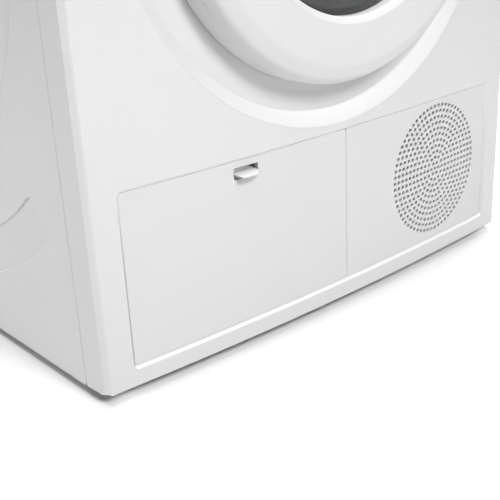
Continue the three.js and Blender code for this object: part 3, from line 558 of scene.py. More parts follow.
DISH = 253
DISH_FOOT = 235
DISH_FLOOR = -276.4
OPENING = (266.0, 83.55, 3.0, -0.6, 114.85)  # half width, half height, corner, centre x and z
HOOK_SLOT = (-199, -184, MOUTH_Z - 8, MOUTH_Z + 8)  # left, right, foot and head
CHAMFER = 3.0
CHAMFER_DEPTH = 4.2
CHAMFER_HIGH = 2.2  # shallower along the top edge
LIP = 2.6
HEM = 1.0


def opening_distance(u, v):
    half_u, half_v, corner, x, z = OPENING
    return rounded_box_distance(u - x, v - z, half_u, half_v, corner)


def opening_loop(growth):
    half_u, half_v, corner, x, z = OPENING
    loop = rounded_box_loop(half_u + growth, half_v + growth, corner + growth, 8, 24)
    return [(p + x, q + z) for p, q in loop]


def front_place(u, v):
    # within the opening's lip the sheet runs straight back
    gap = opening_distance(u, v)
    step = 0.01
    grad_u = (opening_distance(u + step, v) - opening_distance(u - step, v)) / (2 * step)
    grad_v = (opening_distance(u, v + step) - opening_distance(u, v - step)) / (2 * step)
    inside = np.minimum(gap, 0)
    u2 = u - inside * grad_u
    v2 = v - inside * grad_v
    half_v, middle = OPENING[1], OPENING[4]
    share = smooth((v - middle) / half_v - 0.2)
    full = CHAMFER_DEPTH + (CHAMFER_HIGH - CHAMFER_DEPTH) * share
    depth = full * (1 - slope_step(gap / CHAMFER, 0.16)) * (gap < CHAMFER) - inside
    # the hem under the panel's bottom edge
    low = np.maximum(PANEL_BOTTOM + HEM - v2, 0) * (np.abs(u2) < BOW_HALF - 3.9)
    bend = np.clip(low / HEM, 0, math.pi / 2)
    v3 = v2 + low - HEM * np.sin(bend)
    depth = depth + HEM * (1 - np.cos(bend)) + np.maximum(low - HEM * math.pi / 2, 0)
    points = wrap(u2, v3, depth)
    # the dish, whose rim lies on the bow
    across, up = u, v - MOUTH_Z
    radius = np.hypot(across, up)
    rim_u = across * DISH / np.maximum(radius, 1)
    rim_y = front_at(rim_u)
    t = (radius - DISH_FOOT) / (DISH - DISH_FOOT)
    slope = DISH_FLOOR + (rim_y - DISH_FLOOR) * slope_step(t, 0.16)
    face = front_at(u)
    rim = 1.6
    blended = slope + (face - rim_y) * smooth((radius - DISH + rim) / (2 * rim))
    points[:, 1] = np.where(radius < DISH + rim, blended, points[:, 1])
    return points


def front_panel():
    edge = BOW_HALF - 4
    hem_low = PANEL_BOTTOM + HEM - 12
    round_corner = [(2, 0), (0, 0.1), (-2, 0.35), (-4, 0.8), (-6, 1.2)]
    right = [
        (edge, hem_low),
        (edge, PANEL_BOTTOM + HEM),
        *[(BOW_HALF - across, PANEL_BOTTOM + rise) for across, rise in round_corner],
        (BOW_HALF + CORNER_ARC + 1, PANEL_BOTTOM + 0.6),
        (BOW_HALF + CORNER_ARC + 4.2, 10.4),
        (RETURN_END, 9.2),
        (RETURN_END, PANEL_TOP),
    ]
    outer = right + [(-u, v) for u, v in right[::-1]]
    rings = [205, 226, 232, 235, 236.5, 238, 240, 244, 248.5]
    rings += [250.4, 251.4, 252, 252.6, 253.3, 254, 254.7, 256]
    growths = [-LIP, -1.2, -0.02, 0.0, 0.25, 0.5, 1.3, 2.0, 2.5, 2.75, CHAMFER, 3.6]
    closed = [outer, circle(0, MOUTH_Z, MOUTH_RADIUS, 128), rectangle(*HOOK_SLOT)]
    closed += [circle(0, MOUTH_Z, r, 160) for r in rings]
    closed += [opening_loop(g) for g in growths]
    opened = bow_lines(-BOW_HALF, BOW_HALF, hem_low, PANEL_TOP)
    opened += corner_lines((0, 0.1, 0.2, 0.3, 0.4, 0.67, 0.94, 1, 1.06), SIDE_BOTTOM, PANEL_TOP)
    for drop in (0, 0.4, 0.8, 1.2, 1.57):
        v = PANEL_BOTTOM + HEM - drop
        opened.append([(-edge, v), (edge, v)])
    outline = np.array(outer)

    def keep(u, v):
        solid = inside_polygon(u, v, outline)
        solid &= np.hypot(u, v - MOUTH_Z) > MOUTH_RADIUS
        solid &= ~in_rectangle(u, v, *HOOK_SLOT)
        return solid & (opening_distance(u, v) > -LIP)

    return sheet(closed, opened, keep, front_place, 0.9)


def inside_polygon(u, v, polygon):
    inside = np.zeros(len(u), bool)
    for (x0, y0), (x1, y1) in zip(polygon, np.roll(polygon, -1, axis=0)):
        if y0 == y1:
            continue
        crosses = ((y0 > v) != (y1 > v)) & (u < (x1 - x0) * (v - y0) / (y1 - y0) + x0)
        inside ^= crosses
    return inside


add("front_panel_skin", front_panel(), "root", ENAMEL, "front_panel")


# ---- Side panels, with their pressed relief ----

RELIEF_Y = 33
RELIEF_Z = 425
BAND_MIDDLE = 344.25
BAND_HALF = 22.75
BAND_REACH = math.radians(43) * BAND_MIDDLE
BAND_CORNER = 18
BAND_DEPTH = 2.0
BAND_DISHED = 1.6
BAND_WALL = 1.8  # the slope's width at the upper edge
BAND_WALL_LOW = 2.0
DISC_RADIUS = 240
DISC_DEPTH = 0.9
SIDE_FRONT = -243
SIDE_BACK = 308.4
SIDE_EDGE = 1.5


def band_distance(y, z):
    """How far inside the nearer curved band a point of the side is."""
    across = y - RELIEF_Y
    down = np.abs(z - RELIEF_Z)
    along = np.arctan2(across, down) * BAND_MIDDLE
    out = np.hypot(across, down) - BAND_MIDDLE
    return -rounded_box_distance(along, out, BAND_REACH, BAND_HALF, BAND_CORNER)


def side_place(u, v):
    """The left panel, seen from outside: u runs forwards and v up."""
    y = -u
    into = band_distance(y, v)
    reach = np.hypot(y - RELIEF_Y, v - RELIEF_Z) - BAND_MIDDLE
    upper = smooth(-reach / BAND_HALF * 1.6 - 0.2)
    wall = BAND_WALL_LOW + (BAND_WALL - BAND_WALL_LOW) * upper
    relief = BAND_DEPTH * slope_step(into / wall, 0.2)
    relief = relief + 1.4 * upper * smooth(1 - np.abs(into - 1.1) / 1.0)
    relief = relief + BAND_DISHED * (1 - (1 - np.clip(into / BAND_HALF, 0, 1)) ** 2)
    disc = DISC_RADIUS - np.hypot(y - RELIEF_Y, v - RELIEF_Z)
    relief = relief + DISC_DEPTH * slope_step((disc + 2) / 4.0, 0.4)

    def folded(distance):
        # past the edge the sheet turns in by a quarter turn and runs straight in
        past = np.maximum(distance, 0)
        bend = np.clip(past / SIDE_EDGE, 0, math.pi / 2)
        shift = past - SIDE_EDGE * np.sin(bend)
        drop = SIDE_EDGE * (1 - np.cos(bend)) + np.maximum(past - SIDE_EDGE * math.pi / 2, 0)
        return shift, drop

    ahead, drop_a = folded(u + SIDE_FRONT + SIDE_EDGE)
    behind, drop_b = folded(-u - SIDE_BACK + SIDE_EDGE)
    below, drop_c = folded(SIDE_BOTTOM + SIDE_EDGE - v)
    y = y + ahead - behind
    x = -HALF_WIDTH + relief + drop_a + drop_b + drop_c
    return np.column_stack([x, y, v + below])


def side_panel():
    u0, u1, top = -SIDE_BACK, -SIDE_FRONT, FASCIA_TOP
    quarter = SIDE_EDGE * (math.pi / 2 - 1)
    reach = quarter + 6.0
    low = SIDE_BOTTOM - quarter - 9
    # each lower corner is notched, so that the flanges do not meet there
    right = [(u1 - 3, low), (u1 - 3, 9.6), (u1 - 1.5, 9.6), (u1 - 1.5, 12), (u1 + reach, 12)]
    left = [(u0 - reach, 12), (u0 + 1.5, 12), (u0 + 1.5, 9.6), (u0 + 3, 9.6), (u0 + 3, low)]
    outer = left[-1:] + right + [(u1 + reach, top), (u0 - reach, top)] + left[:-1]
    closed, opened = [outer], []
    for inset in (0, 0.3, 0.65, 0.9, 1.35, BAND_WALL, 2.2, BAND_WALL_LOW, 3, 6, 10, 14):
        loop = rounded_box_loop(BAND_REACH - inset, BAND_HALF - inset, BAND_CORNER - inset, 8, 40)
        for sign in (1, -1):
            arc = []
            for along, out in loop:
                angle = along / BAND_MIDDLE
                reach = BAND_MIDDLE + out
                y = RELIEF_Y + reach * math.sin(angle)
                arc.append((-y, RELIEF_Z - sign * reach * math.cos(angle)))
            closed.append(arc)
    for radius in (236.6, 238, 239, 240, 241, 242, 243.4):
        closed.append(circle(-RELIEF_Y, RELIEF_Z, radius, 144))
    for turn in np.linspace(0, SIDE_EDGE * math.pi / 2, 6):
        for u in (u1 - SIDE_EDGE + turn, u0 + SIDE_EDGE - turn):
            opened.append([(u, SIDE_BOTTOM), (u, top)])
        opened.append([(u0, SIDE_BOTTOM + SIDE_EDGE - turn), (u1, SIDE_BOTTOM + SIDE_EDGE - turn)])
    outline = np.array(outer)
    return sheet(closed, opened, lambda u, v: inside_polygon(u, v, outline), side_place, 0.8)


side = side_panel()
add("side_skin_left", side, "root", ENAMEL, "side_panel_left")
add("side_skin_right", side.mirrored(), "root", ENAMEL, "side_panel_right")


# ---- Plinth: service flap, latch and grille panel ----

SERVICE_LOW = 31.1
SERVICE_HIGH = 198.3
SERVICE_HALF = 267.0
SERVICE_SPLIT = 10.3
SERVICE_GAP = 0.15  # either side of the split
SERVICE_CORNER = 2.6
SERVICE_EDGE = 1.3
WINDOW = (LATCH_X - 14.8, LATCH_X + 14.8, 180.2, 191.6)
WINDOW_CORNER = 1.2
WINDOW_EDGE = 0.5


def plate_tools(x0, x1, z0, z1, corner, edge):
    """The loops of a plate with rounded edges, and a measure of how far inside it a point is."""
    cx, cz, half_x, half_z = middle_of(x0, x1, z0, z1)
    inward = lambda u, v: -rounded_box_distance(u - cx, v - cz, half_x, half_z, corner)
    insets = [share * edge for share in (0, 0.04, 0.15, 0.35, 0.65, 1.0, 1.3)]
    return nested(half_x, half_z, corner, cx, cz, 5, insets), inward


def service_flap():
    bounds = x0, x1, *_ = -SERVICE_HALF, SERVICE_SPLIT - SERVICE_GAP, SERVICE_LOW, SERVICE_HIGH
    loops, inward = plate_tools(*bounds, SERVICE_CORNER, SERVICE_EDGE)
    cx, cz, *half = middle_of(*WINDOW)
    loops += nested(*half, WINDOW_CORNER, cx, cz, 5, (0, -0.05, -0.18, -0.35, -WINDOW_EDGE, -0.7))
    beyond = lambda u, v: rounded_box_distance(u - cx, v - cz, *half, WINDOW_CORNER)

    def place(u, v):
        drop = edge_drop(inward(u, v), SERVICE_EDGE) + edge_drop(beyond(u, v), WINDOW_EDGE)
        return wrap(u, v, SERVICE_DEPTH + drop)

    keep = lambda u, v: (inward(u, v) > 0) & (beyond(u, v) > 0)
    face = sheet(loops, bow_lines(*bounds), keep, place, 2.4)
    back_at = lambda x: front_at(x) + SERVICE_DEPTH + 2.3
    for x in (-238, -25):
        ear = [(back_at(x), 42.2), (-273.2, 42.2), (-273.2, 49), (back_at(x), 49)]
        face += prism(fillet(ear, [0, 2.6, 2.6, 0]), x - 2, x + 2, "x", 0.4)
        face += rod(1.5, x, x + 12, -276, 45, "x")
    for x in (LATCH_X - 20.5, LATCH_X + 17.5):
        ear = [(back_at(x), 181), (-272, 181), (-272, 191), (back_at(x), 191)]
        face += prism(fillet(ear, [0, 3, 3, 0]), x, x + 3, "x", 0.3)
    # the pocket behind the latch's window: floor, ends, and a back wall slotted for the paddle
    wall_y, floor_z = -281.6, WINDOW[2] - 1.2
    x_left, x_right, y_front = WINDOW[0] - 0.4, WINDOW[1] + 0.4, back_at(LATCH_X) - 0.6
    for box in (
        (x_left, x_right, y_front, wall_y + 1, floor_z, WINDOW[2] - 0.1),
        (x_left, x_right, wall_y, wall_y + 1, WINDOW[2] - 1, 182.2),
        (x_left, LATCH_X + 8.5, wall_y, wall_y + 1, 186.9, 194),
        (x_left - 1, x_left, y_front, wall_y + 1, floor_z, 194),
        (x_right, x_right + 1, y_front, wall_y + 1, floor_z, 194),
    ):
        face += block(*box, 0.2)
    # stiffening ribs on the hidden side
    margin, lengths = 14, 11
    width = (x1 - x0 - 2 * margin) / lengths
    for z in (70, 108, 146):
        for x in np.linspace(x0 + margin, x1 - margin, lengths + 1)[:-1]:
            y = max(front_at(x), front_at(x + width)) + SERVICE_DEPTH + 2.2
            face += block(x, x + width + 0.2, y, y + 3.2, z - 0.8, z + 0.8, 0.2)
    return face


def grille_panel():
    bounds = SERVICE_SPLIT + SERVICE_GAP, SERVICE_HALF - 1, SERVICE_LOW, SERVICE_HIGH
    loops, inward = plate_tools(*bounds, SERVICE_CORNER, SERVICE_EDGE)
    cx, cz, pitch, radius, rings = 165.3, 116.9, 6.78, 2.45, 11
    holes = [(cx, cz)]
    for ring in range(1, rings + 1):
        holes += circle(cx, cz, ring * pitch, 6 * ring)
    holes = np.array(holes)
    closed = loops + [circle(x, z, radius, 12) for x, z in holes]

    def keep(u, v):
        solid = inward(u, v) > 0
        near = np.hypot(u - cx, v - cz) < (rings + 1) * pitch
        spot = np.column_stack([u[near], v[near]])
        gap = np.min(np.hypot(*(spot[:, None, :] - holes[None]).transpose(2, 0, 1)), axis=1)
        solid[near] &= gap > radius * 0.98
        return solid

    place = lambda u, v: wrap(u, v, SERVICE_DEPTH + edge_drop(inward(u, v), SERVICE_EDGE))
    return sheet(closed, bow_lines(*bounds), keep, place, 2.0)


def flap_latch():
    """The paddle, the barrel that it turns on and the catch behind the flap."""
    axis_y = -276
    paddle = [(-13, -0.5), (-13, -21.2), (-4, -22.6), (4.7, -22.6), (11.3, -18.8), (13.2, -10), (13.2, -0.5)]
    paddle = fillet(paddle, [0, 0.8, 6, 3, 2, 3, 0])
    shape = prism(paddle, -1.9, 0, "z", 0.5).moved(LATCH_X, axis_y, LATCH_Z)
    for radius, reach in ((2.6, 13), (1.6, 20.5)):
        shape += rod(radius, LATCH_X - reach, LATCH_X + reach, axis_y, LATCH_Z, "x")
    return shape + block(LATCH_X - 8, LATCH_X + 8, axis_y - 1.8, axis_y + 0.4, LATCH_Z, LATCH_Z + 9.4, 0.4)


add("service_flap_panel", service_flap(), "service_flap", PLASTIC, "service_flap")
add("grille_panel_skin", grille_panel(), "root", PLASTIC, "grille_panel")
add("flap_latch_paddle", flap_latch(), "flap_latch", PLASTIC, "flap_latch")


# ---- Worktop ----


def plan_loop(inset):
    """The cabinet's plan, anticlockwise from the rear right corner."""
    back = [(HALF_WIDTH - inset, REAR - inset), (-HALF_WIDTH + inset, REAR - inset)]
    u = np.concatenate([
        [-BOW_HALF - CORNER_ARC],
        np.linspace(-BOW_HALF - CORNER_ARC * 0.8, -BOW_HALF, 5),
        np.linspace(-BOW_HALF, BOW_HALF, 48)[1:-1],
        np.linspace(BOW_HALF, BOW_HALF + CORNER_ARC * 0.8, 5),
        [BOW_HALF + CORNER_ARC],
    ])
    return back + [(x, y) for x, y, _ in wrap(u, 0 * u, inset)]


def worktop():
    levels = [(2.6, 814), (0.9, 814.3), (0, 815.4), (0, 837.4), (0.35, 839.2), (1.2, 840.8), (2.6, 841.7)]
    return ringed([[(x, y, z) for x, y in plan_loop(inset)] for inset, z in levels + [(4.6, 842)]])


add("worktop_board", worktop(), "root", LAMINATE, "worktop", sharp=50)


# ---- Control fascia, water drawer and controls ----

DRAWER = (-284.5, -119.5, 729.5, 800.5)  # openings: left, right, foot and head
SCREEN = (60, 160, 746, 786)
KEYS = (75, 110, 145)
KEY_Z = 733
POWER_X = -75
START_X = 215


def within(x0, x1, z0, z1):
    """The outline of what fills an opening, with a gap all round."""
    gap = 0.5
    return x0 + gap, x1 - gap, z0 + gap, z1 - gap


def control_fascia():
    edge, rim = 1.5, 0.6
    growths = (0, 0.05, 0.2, 0.4, rim, 0.9)
    outer = (-RETURN_END, RETURN_END, FASCIA_BOTTOM, FASCIA_TOP)
    boxes = [(*DRAWER, 2.0), (*SCREEN, 1.5)]
    boxes += [(x - 10.6, x + 10.6, KEY_Z - 5.6, KEY_Z + 5.6, 1.6) for x in KEYS]
    rounds = [(0, 8.0), (POWER_X, 9.6), (START_X, 13.6)]
    tests = []
    closed = [rectangle(*outer)]
    for *bounds, corner in boxes:
        cx, cz, *size = *middle_of(*bounds), corner
        tests.append(lambda u, v, c=(cx, cz, *size): rounded_box_distance(u - c[0], v - c[1], *c[2:]))
        closed += nested(*size, cx, cz, 5, [-growth for growth in growths])
    for x, radius in rounds:
        tests.append(lambda u, v, c=(x, radius): np.hypot(u - c[0], v - DIAL_Z) - c[1])
        closed += [circle(x, DIAL_Z, radius + growth, 40) for growth in growths]

    def place(u, v):
        drop = edge_drop(v - FASCIA_BOTTOM, edge) + edge_drop(FASCIA_TOP - v, edge)
        for test in tests:
            drop = drop + edge_drop(test(u, v), rim)
        return wrap(u, v, drop)

    def keep(u, v):
        solid = in_rectangle(u, v, *outer)
        for test in tests:
            solid &= test(u, v) > 0
        return solid

    opened = bow_lines(-BOW_HALF, BOW_HALF, FASCIA_BOTTOM, FASCIA_TOP)
    opened += corner_lines((0, 0.2, 0.4, 0.6, 0.8, 1), FASCIA_BOTTOM, FASCIA_TOP)
    for inset in (0.05, 0.2, 0.5, 0.9, edge, 2):
        for v in (FASCIA_BOTTOM + inset, FASCIA_TOP - inset):
            opened.append([(-RETURN_END, v), (RETURN_END, v)])
    return sheet(closed, opened, keep, place, 2.4)


def drawer_front():
    bounds = x0, x1, z0, _ = within(*DRAWER)
    edge = 1.4
    loops, inward = plate_tools(*bounds, 2.4, edge)
    grip_x, grip_z, *grip, wall, deep = -202.5, 744.5, 37.5, 10, 9.0, 5.0, 12.5
    pocket = lambda u, v: -rounded_box_distance(u - grip_x, v - grip_z, *grip)
    loops += nested(*grip, grip_x, grip_z, 8, (0, 0.4, 0.9, 1.6, 2.5, 3.4, 4.1, 4.6, wall, 5.6))

    def place(u, v):
        points = wrap(u, v, edge_drop(inward(u, v), edge))
        points[:, 1] += deep * slope_step(pocket(u, v) / wall, 0.3)
        return points

    front = sheet(loops, bow_lines(*bounds, 16), lambda u, v: inward(u, v) > 0, place, 2.0)
    return front + block(x0 + 4, x1 - 4, -272.4, -264.6, z0 + 22, z0 + 62, 0.6)


def programme_knob():
    fluted = lambda angle, radius, y: radius - 0.45 * (1 + math.cos(36 * angle)) * (24.4 < radius) * (y > -19)
    face = [(1, -21.2), (18, -21.2), (21, -21.6), (23, -21.9), (24.6, -21.4), (25.4, -20.4), (25.7, -19.0)]
    skirt = [(26.0, -17), (26.6, -4), (27.0, -2.2), (26.8, -1.2), (26, -0.8)]
    stem = [(7.2, -0.8), (7, 0), (7, 18), (1, 18)]
    centre = (0, front_at(0), DIAL_Z)
    mark = prism(rounded_box_loop(1.0, 6.5, 1.0, 4), -22.8, -20.4, "y", 0.3)
    return spun(face + skirt + stem, centre, "y", 144, fluted), mark.moved(0, centre[1], DIAL_Z + 14.5)


def round_key(x, radius):
    face = [(0.6, -0.9), (radius * 0.5, -1.0), (radius - 1.6, -1.3), (radius - 0.8, -1.45)]
    side = [(radius - 0.25, -1.2), (radius, -0.5), (radius, 6)]
    return spun(face + side + [(3, 6), (3, 20), (1, 20)], (x, front_at(x), DIAL_Z), "y", 56)


def option_key(x):
    key = prism(rounded_box_loop(10, 5, 1.8, 5), -1.5, 6, "y", 0.7).moved(x, front_at(x), KEY_Z)
    return key + rod(3, 5, 20, x, KEY_Z).moved(0, front_at(x), 0)


def display_window():
    bounds = within(*SCREEN)
    edge = 0.5
    loops, inward = plate_tools(*bounds, 1.3, edge)
    place = lambda u, v: wrap(u, v, 0.35 + edge_drop(inward(u, v), edge))
    return sheet(loops, bow_lines(*bounds), lambda u, v: inward(u, v) > 0, place, 2.2)


def dial_marks():
    """Printed ticks round the dial, a hair proud of the fascia."""
    marks = Shape()
    for index in range(16):
        long = index % 4 == 0
        reach = 5.0 if long else 3.0
        outline = rounded_box_loop(0.45, reach / 2, 0.3, 2)
        tick = prism(outline, -0.12, 0.3, "y", 0).moved(0, front_at(0), DIAL_Z + 32 + reach / 2)
        tick = tick.turned("Y", index * 22.5, (0, 0, DIAL_Z))
        centre = tick.points.mean(axis=0)
        marks += tick.moved(0, front_at(centre[0]) - front_at(0), 0)
    return marks


add("control_fascia_skin", control_fascia(), "root", PLASTIC, "control_fascia")
add("drawer_front_skin", drawer_front(), "water_drawer", PLASTIC, "drawer_front")
knob, pointer = programme_knob()
add("programme_knob_turned", knob, "programme_knob", CHROME, "programme_knob")
add("programme_knob_pointer", pointer, "programme_knob", DARK)
add("power_key", round_key(POWER_X, 9), "power_button", PLASTIC, "power_button")
add("start_key", round_key(START_X, 13), "start_button", PLASTIC, "start_button")
for number, x in enumerate(KEYS, 1):
    add(f"option_key_{number}", option_key(x), f"option_button_{number}", PLASTIC, f"option_button_{number}")
add("display_glass", display_window(), "root", DISPLAY, "display_window")
add("dial_marks", dial_marks(), "root", DARK)


# ---- Door ----

GRIP_HALF = math.radians(13.3)
GRIP_DEPTH = 11.5
GRIP_SPAN = (-303.5, -279.5)


def grip_push(angle, radius, y):
    """Scoops the finger grip out of the frame's left edge."""
    front, back = GRIP_SPAN
    if radius < 200 or not front < y < back:
        return radius
    ends = float(smooth((GRIP_HALF - abs(angle - math.pi)) / math.radians(3.0)))
    depth = float(smooth((y - front) / 3.0) * smooth((back - y) / 2.0))
    return radius - GRIP_DEPTH * ends * depth


def door_frame():
    outside = [
        (143, -300), (143, -316), (150, -320), (188, -320), (203, -312), (208, -300), (208, -277.6),
        (205, -277.6), (205, -299), (201, -309), (187, -317), (151, -317), (146, -314), (146, -300),
    ]
    profile = fillet(outside, [0.5, 2.5, 4, 12, 12, 9, 0.8, 0.8, 5, 8, 8, 2, 1, 0.5], 5)
    dense = []
    for (r0, y0), (r1, y1) in zip(profile, profile[1:] + profile[:1]):
        dense.append((r0, y0))
        if r0 > 207.5 and r1 > 207.5:
            dense += [(r0, float(y)) for y in np.linspace(y0, y1, 16)[1:-1]]
    dense = [(r, y) for r, y in dense if not (200 < r < 206 and -303 < y < GRIP_SPAN[1])]
    wall = [(204.6, -303.6), (194.8, -303.0), (194.8, -279.4), (204.9, -279.0)]
    after = 1 + max(n for n, (r, y) in enumerate(dense) if r > 204 and y > GRIP_SPAN[1])
    return lathe(dense[:after] + wall[::-1] + dense[after:], (0, 0, MOUTH_Z), "y", 180, grip_push)


def door_window():
    outer = [(1, -314), (35, -313.7), (70, -312.6), (110, -309.6), (141.4, -306.2), (142.6, -305.4)]
    inner = [(142.6, -302.4), (141.4, -302), (110, -305.4), (70, -308.4), (35, -309.6), (1, -310)]
    return spun(outer + inner, (0, 0, MOUTH_Z), "y", 128)


def door_inner_ring():
    outline = [
        (146.4, -299), (149.4, -299), (149.4, -280.6), (204.6, -280.6), (204.6, -277.6),
        (168, -277.6), (168, -268.8), (164, -268.8), (164, -277.6), (146.4, -277.6),
    ]
    return lathe(fillet(outline, [1, 1, 2, 0.8, 0.8, 2, 1.2, 1.2, 2, 1.2], 3), (0, 0, MOUTH_Z), "y", 144)


def door_seal():
    outline = [(168.9, -276.6), (171, -276.6), (171, -270.8), (170.2, -270), (168.9, -270)]
    return lathe(fillet(outline, [0.3, 0.3, 0.5, 0.5, 0.3], 2), (0, 0, MOUTH_Z), "y", 120)


add("door_frame_ring", door_frame(), "door", PLASTIC, "door_frame")
add("door_window_glass", door_window(), "door", GLASS, "door_window")
add("door_inner_ring_moulded", door_inner_ring(), "door", GREY, "door_inner_ring")
add("door_seal_lip", door_seal(), "door", SEAL, "door_seal")


# ---- Rear: panel, duct cover and cable gland ----

DUCT_RADIUS = 205
GLAND = (220, 60)  # across from the left, seen from behind, and up
GLAND_RADIUS = 9.4


def screws(spots, y):
    """Domed screw heads that face backwards, seated at y."""
    profile = [(0.4, 0.5), (0.9, 0.55), (1.3, 1.5), (2.6, 1.3), (3.7, 0.5), (3.7, -0.3), (0.4, -0.3)]
    shape = Shape()
    for x, z in spots:
        shape += spun([(r, y + h) for r, h in profile], (x, 0, z), "y", 14)
    return shape


def rear_panel():
    half, low, top = 290.5, 20, FASCIA_TOP
    middle = (low + top) / 2
    bead = 6.0
    beads = [(0, z, 150, bead) for z in (132, 166, 200)] + [(0, z, 215, bead) for z in (738, 772)]
    beads += [(x, DRUM_Z, bead, 190) for x in (-262, 262)]
    vents = [(x, z, 30, 2.2) for x in (-150, -70) for z in range(46, 112, 11)]
    closed = [boxed(half, (top - low) / 2, 3, 0, middle)]
    closed += [circle(0, DRUM_Z, DUCT_RADIUS, 96), circle(*GLAND, GLAND_RADIUS, 24)]
    closed += [boxed(hu, hv, hv, u, v) for u, v, hu, hv in vents]
    for u, v, hu, hv in beads:
        closed += nested(hu, hv, bead, u, v, 4, (0, 1, 2, 3.2, 4.6))

    def place(u, v):
        rise = 0 * u
        for cu, cv, hu, hv in beads:
            rise = rise + 2.2 * smooth(-rounded_box_distance(u - cu, v - cv, hu, hv, bead) / 4.6)
        return np.column_stack([-u, REAR + rise, v])

    def keep(u, v):
        solid = np.hypot(u, v - DRUM_Z) > DUCT_RADIUS
        solid &= np.hypot(u - GLAND[0], v - GLAND[1]) > GLAND_RADIUS
        for cu, cv, hu, hv in vents:
            solid &= rounded_box_distance(u - cu, v - cv, hu, hv, hv) > 0
        return solid

    edge_screws = [(x, z) for x in (-283, 283) for z in range(60, 800, 145)]
    edge_screws += [(x, z) for x in (-140, 0, 140) for z in (28, 804)]
    return sheet(closed, [], keep, place, 1.2) + screws(edge_screws, REAR)


def rear_duct_cover():
    pressed = [(60, 320), (63, 318), (73, 318), (76, 320), (120, 320), (123, 318), (139, 318), (142, 320)]
    rim = [(191, 320), (204, 311.6), (225, 311.6), (225, 310.4), (203.4, 310.4), (190, 318.6)]
    back = [(143, 318.6), (140, 316.6), (0.5, 316.6)]
    radii = [0] + [1.2] * 8 + [5, 3, 0.4, 0.4, 3, 4, 1, 1, 0]
    profile = fillet([(0.5, 320)] + pressed + rim + back, radii, 4, False)
    return spun(profile, (0, 0, DRUM_Z), "y", 96) + screws(circle(0, DRUM_Z, 215, 12), 311.6)


def hexagon(angle, radius, height):
    return radius / math.cos((angle % (math.pi / 3)) - math.pi / 6)


def cable_gland():
    collar = [(4, 313.6), (5.6, 314), (8.4, 314), (9.6, 312.8), (15, 312.6), (16, 311.8), (16, 310.4)]
    collar += [(9, 310.4), (9, 298), (4, 298)]
    nut = [(9.1, 301), (12, 301), (12.4, 301.4), (12.4, 306.2), (12, 306.6), (9.1, 306.6)]
    centre = (-GLAND[0], 0, GLAND[1])
    return lathe(collar, centre, "y", 48) + lathe(nut, centre, "y", 48, hexagon)


add("rear_panel_skin", rear_panel(), "root", ZINC, "rear_panel")
add("rear_duct_cover_skin", rear_duct_cover(), "root", ZINC, "rear_duct_cover")
add("cable_gland_turned", cable_gland(), "root", DARK, "cable_gland")


# ---- Feet ----


def foot_pad(x, y):
    gripped = lambda angle, radius, height: radius - 0.5 * (1 + math.cos(20 * angle)) * (radius > 19.5)
    profile = [(1, 0), (16.5, 0), (18.8, 0.7), (20, 2), (20, 4.4), (18.8, 5.8), (14, 7), (1, 7)]
    return spun(profile, (x, y, 0), "z", 120, gripped)


def foot_stud(x, y):
    nut = [(4.6, 9), (8, 9), (8.6, 9.6), (8.6, 13.8), (8, 14.4), (4.6, 14.4)]
    stud = [(1, 6)]
    for height in np.arange(6.4, 31.5, 1.25):
        stud += [(5.0, height), (4.45, height + 0.62)]
    stud += [(3.8, 32), (1, 32)]
    return spun(stud, (x, y, 0), "z", 24) + lathe(nut, (x, y, 0), "z", 36, hexagon)


for end, y in (("front", -215), ("rear", 270)):
    for hand, x in (("left", -255), ("right", 255)):
        foot = f"foot_{end}_{hand}"
        add(foot + "_pad", foot_pad(x, y), foot, RUBBER, foot)
        add(foot + "_stud", foot_stud(x, y), foot, STEEL)


# ---- Drum, bulkhead collar and lint filter ----


def drum_shell():
    outer = [(235, -228), (262, -228), (265, -227), (266, -224)]
    for y in (-160, -80, 150):
        outer += [(266, y - 6), (264.6, y - 3), (264.2, y), (264.6, y + 3), (266, y + 6)]
    outer += [(266, 232)]
    inner = [(radius - 1, y) for radius, y in outer[:2:-1]]
    rim = [(263.8, -226.2), (261.6, -227), (236.4, -227), (235.6, -225.4), (234.8, -225.6)]
    return lathe(outer + inner + rim, (0, 0, DRUM_Z), "y", 144)


def drum_back():
    rings = range(96, 214, 14)
    spacing, hole = 17, 3.2
    holes = [spot for r in rings for spot in circle(0, 0, r, round(2 * math.pi * r / spacing))]
    closed = [circle(0, 0, r, 96) for r in (265.6, 258, 240, 226, 80, 60, 44, 20)]
    closed += [circle(x, z, hole, 8) for x, z in holes]
    hole_x, hole_z = np.array(holes).T

    def place(u, v):
        radius = np.hypot(u, v)
        bead = 2.6 * smooth((radius - 226) / 20) * smooth((258 - radius) / 10)
        return np.column_stack([u, 232.4 + bead + 4 * smooth((62 - radius) / 20), v + DRUM_Z])

    keep = lambda u, v: np.min(np.hypot(u[:, None] - hole_x, v[:, None] - hole_z), axis=1) > hole - 0.1
    hub = [(1, 238), (28, 238), (30, 237), (30, 236), (12, 244), (10, 246), (10, 263.5), (9.5, 264), (1, 264)]
    return sheet(closed, [], keep, place, 1.0) + spun(hub, (0, 0, DRUM_Z), "y", 40)


def lifter(number):
    section = [(-30, -260.5), (30, -260.5), (13, -214), (7, -202), (0, -199), (-7, -202), (-13, -214)]
    section = fillet(section, [1, 1, 14, 6, 8, 6, 14], 4)
    ridge = prism(section, -200, 200, "y", 5, 5).moved(0, 0, DRUM_Z)
    return ridge.turned("Y", 120 * number, (0, 0, DRUM_Z))


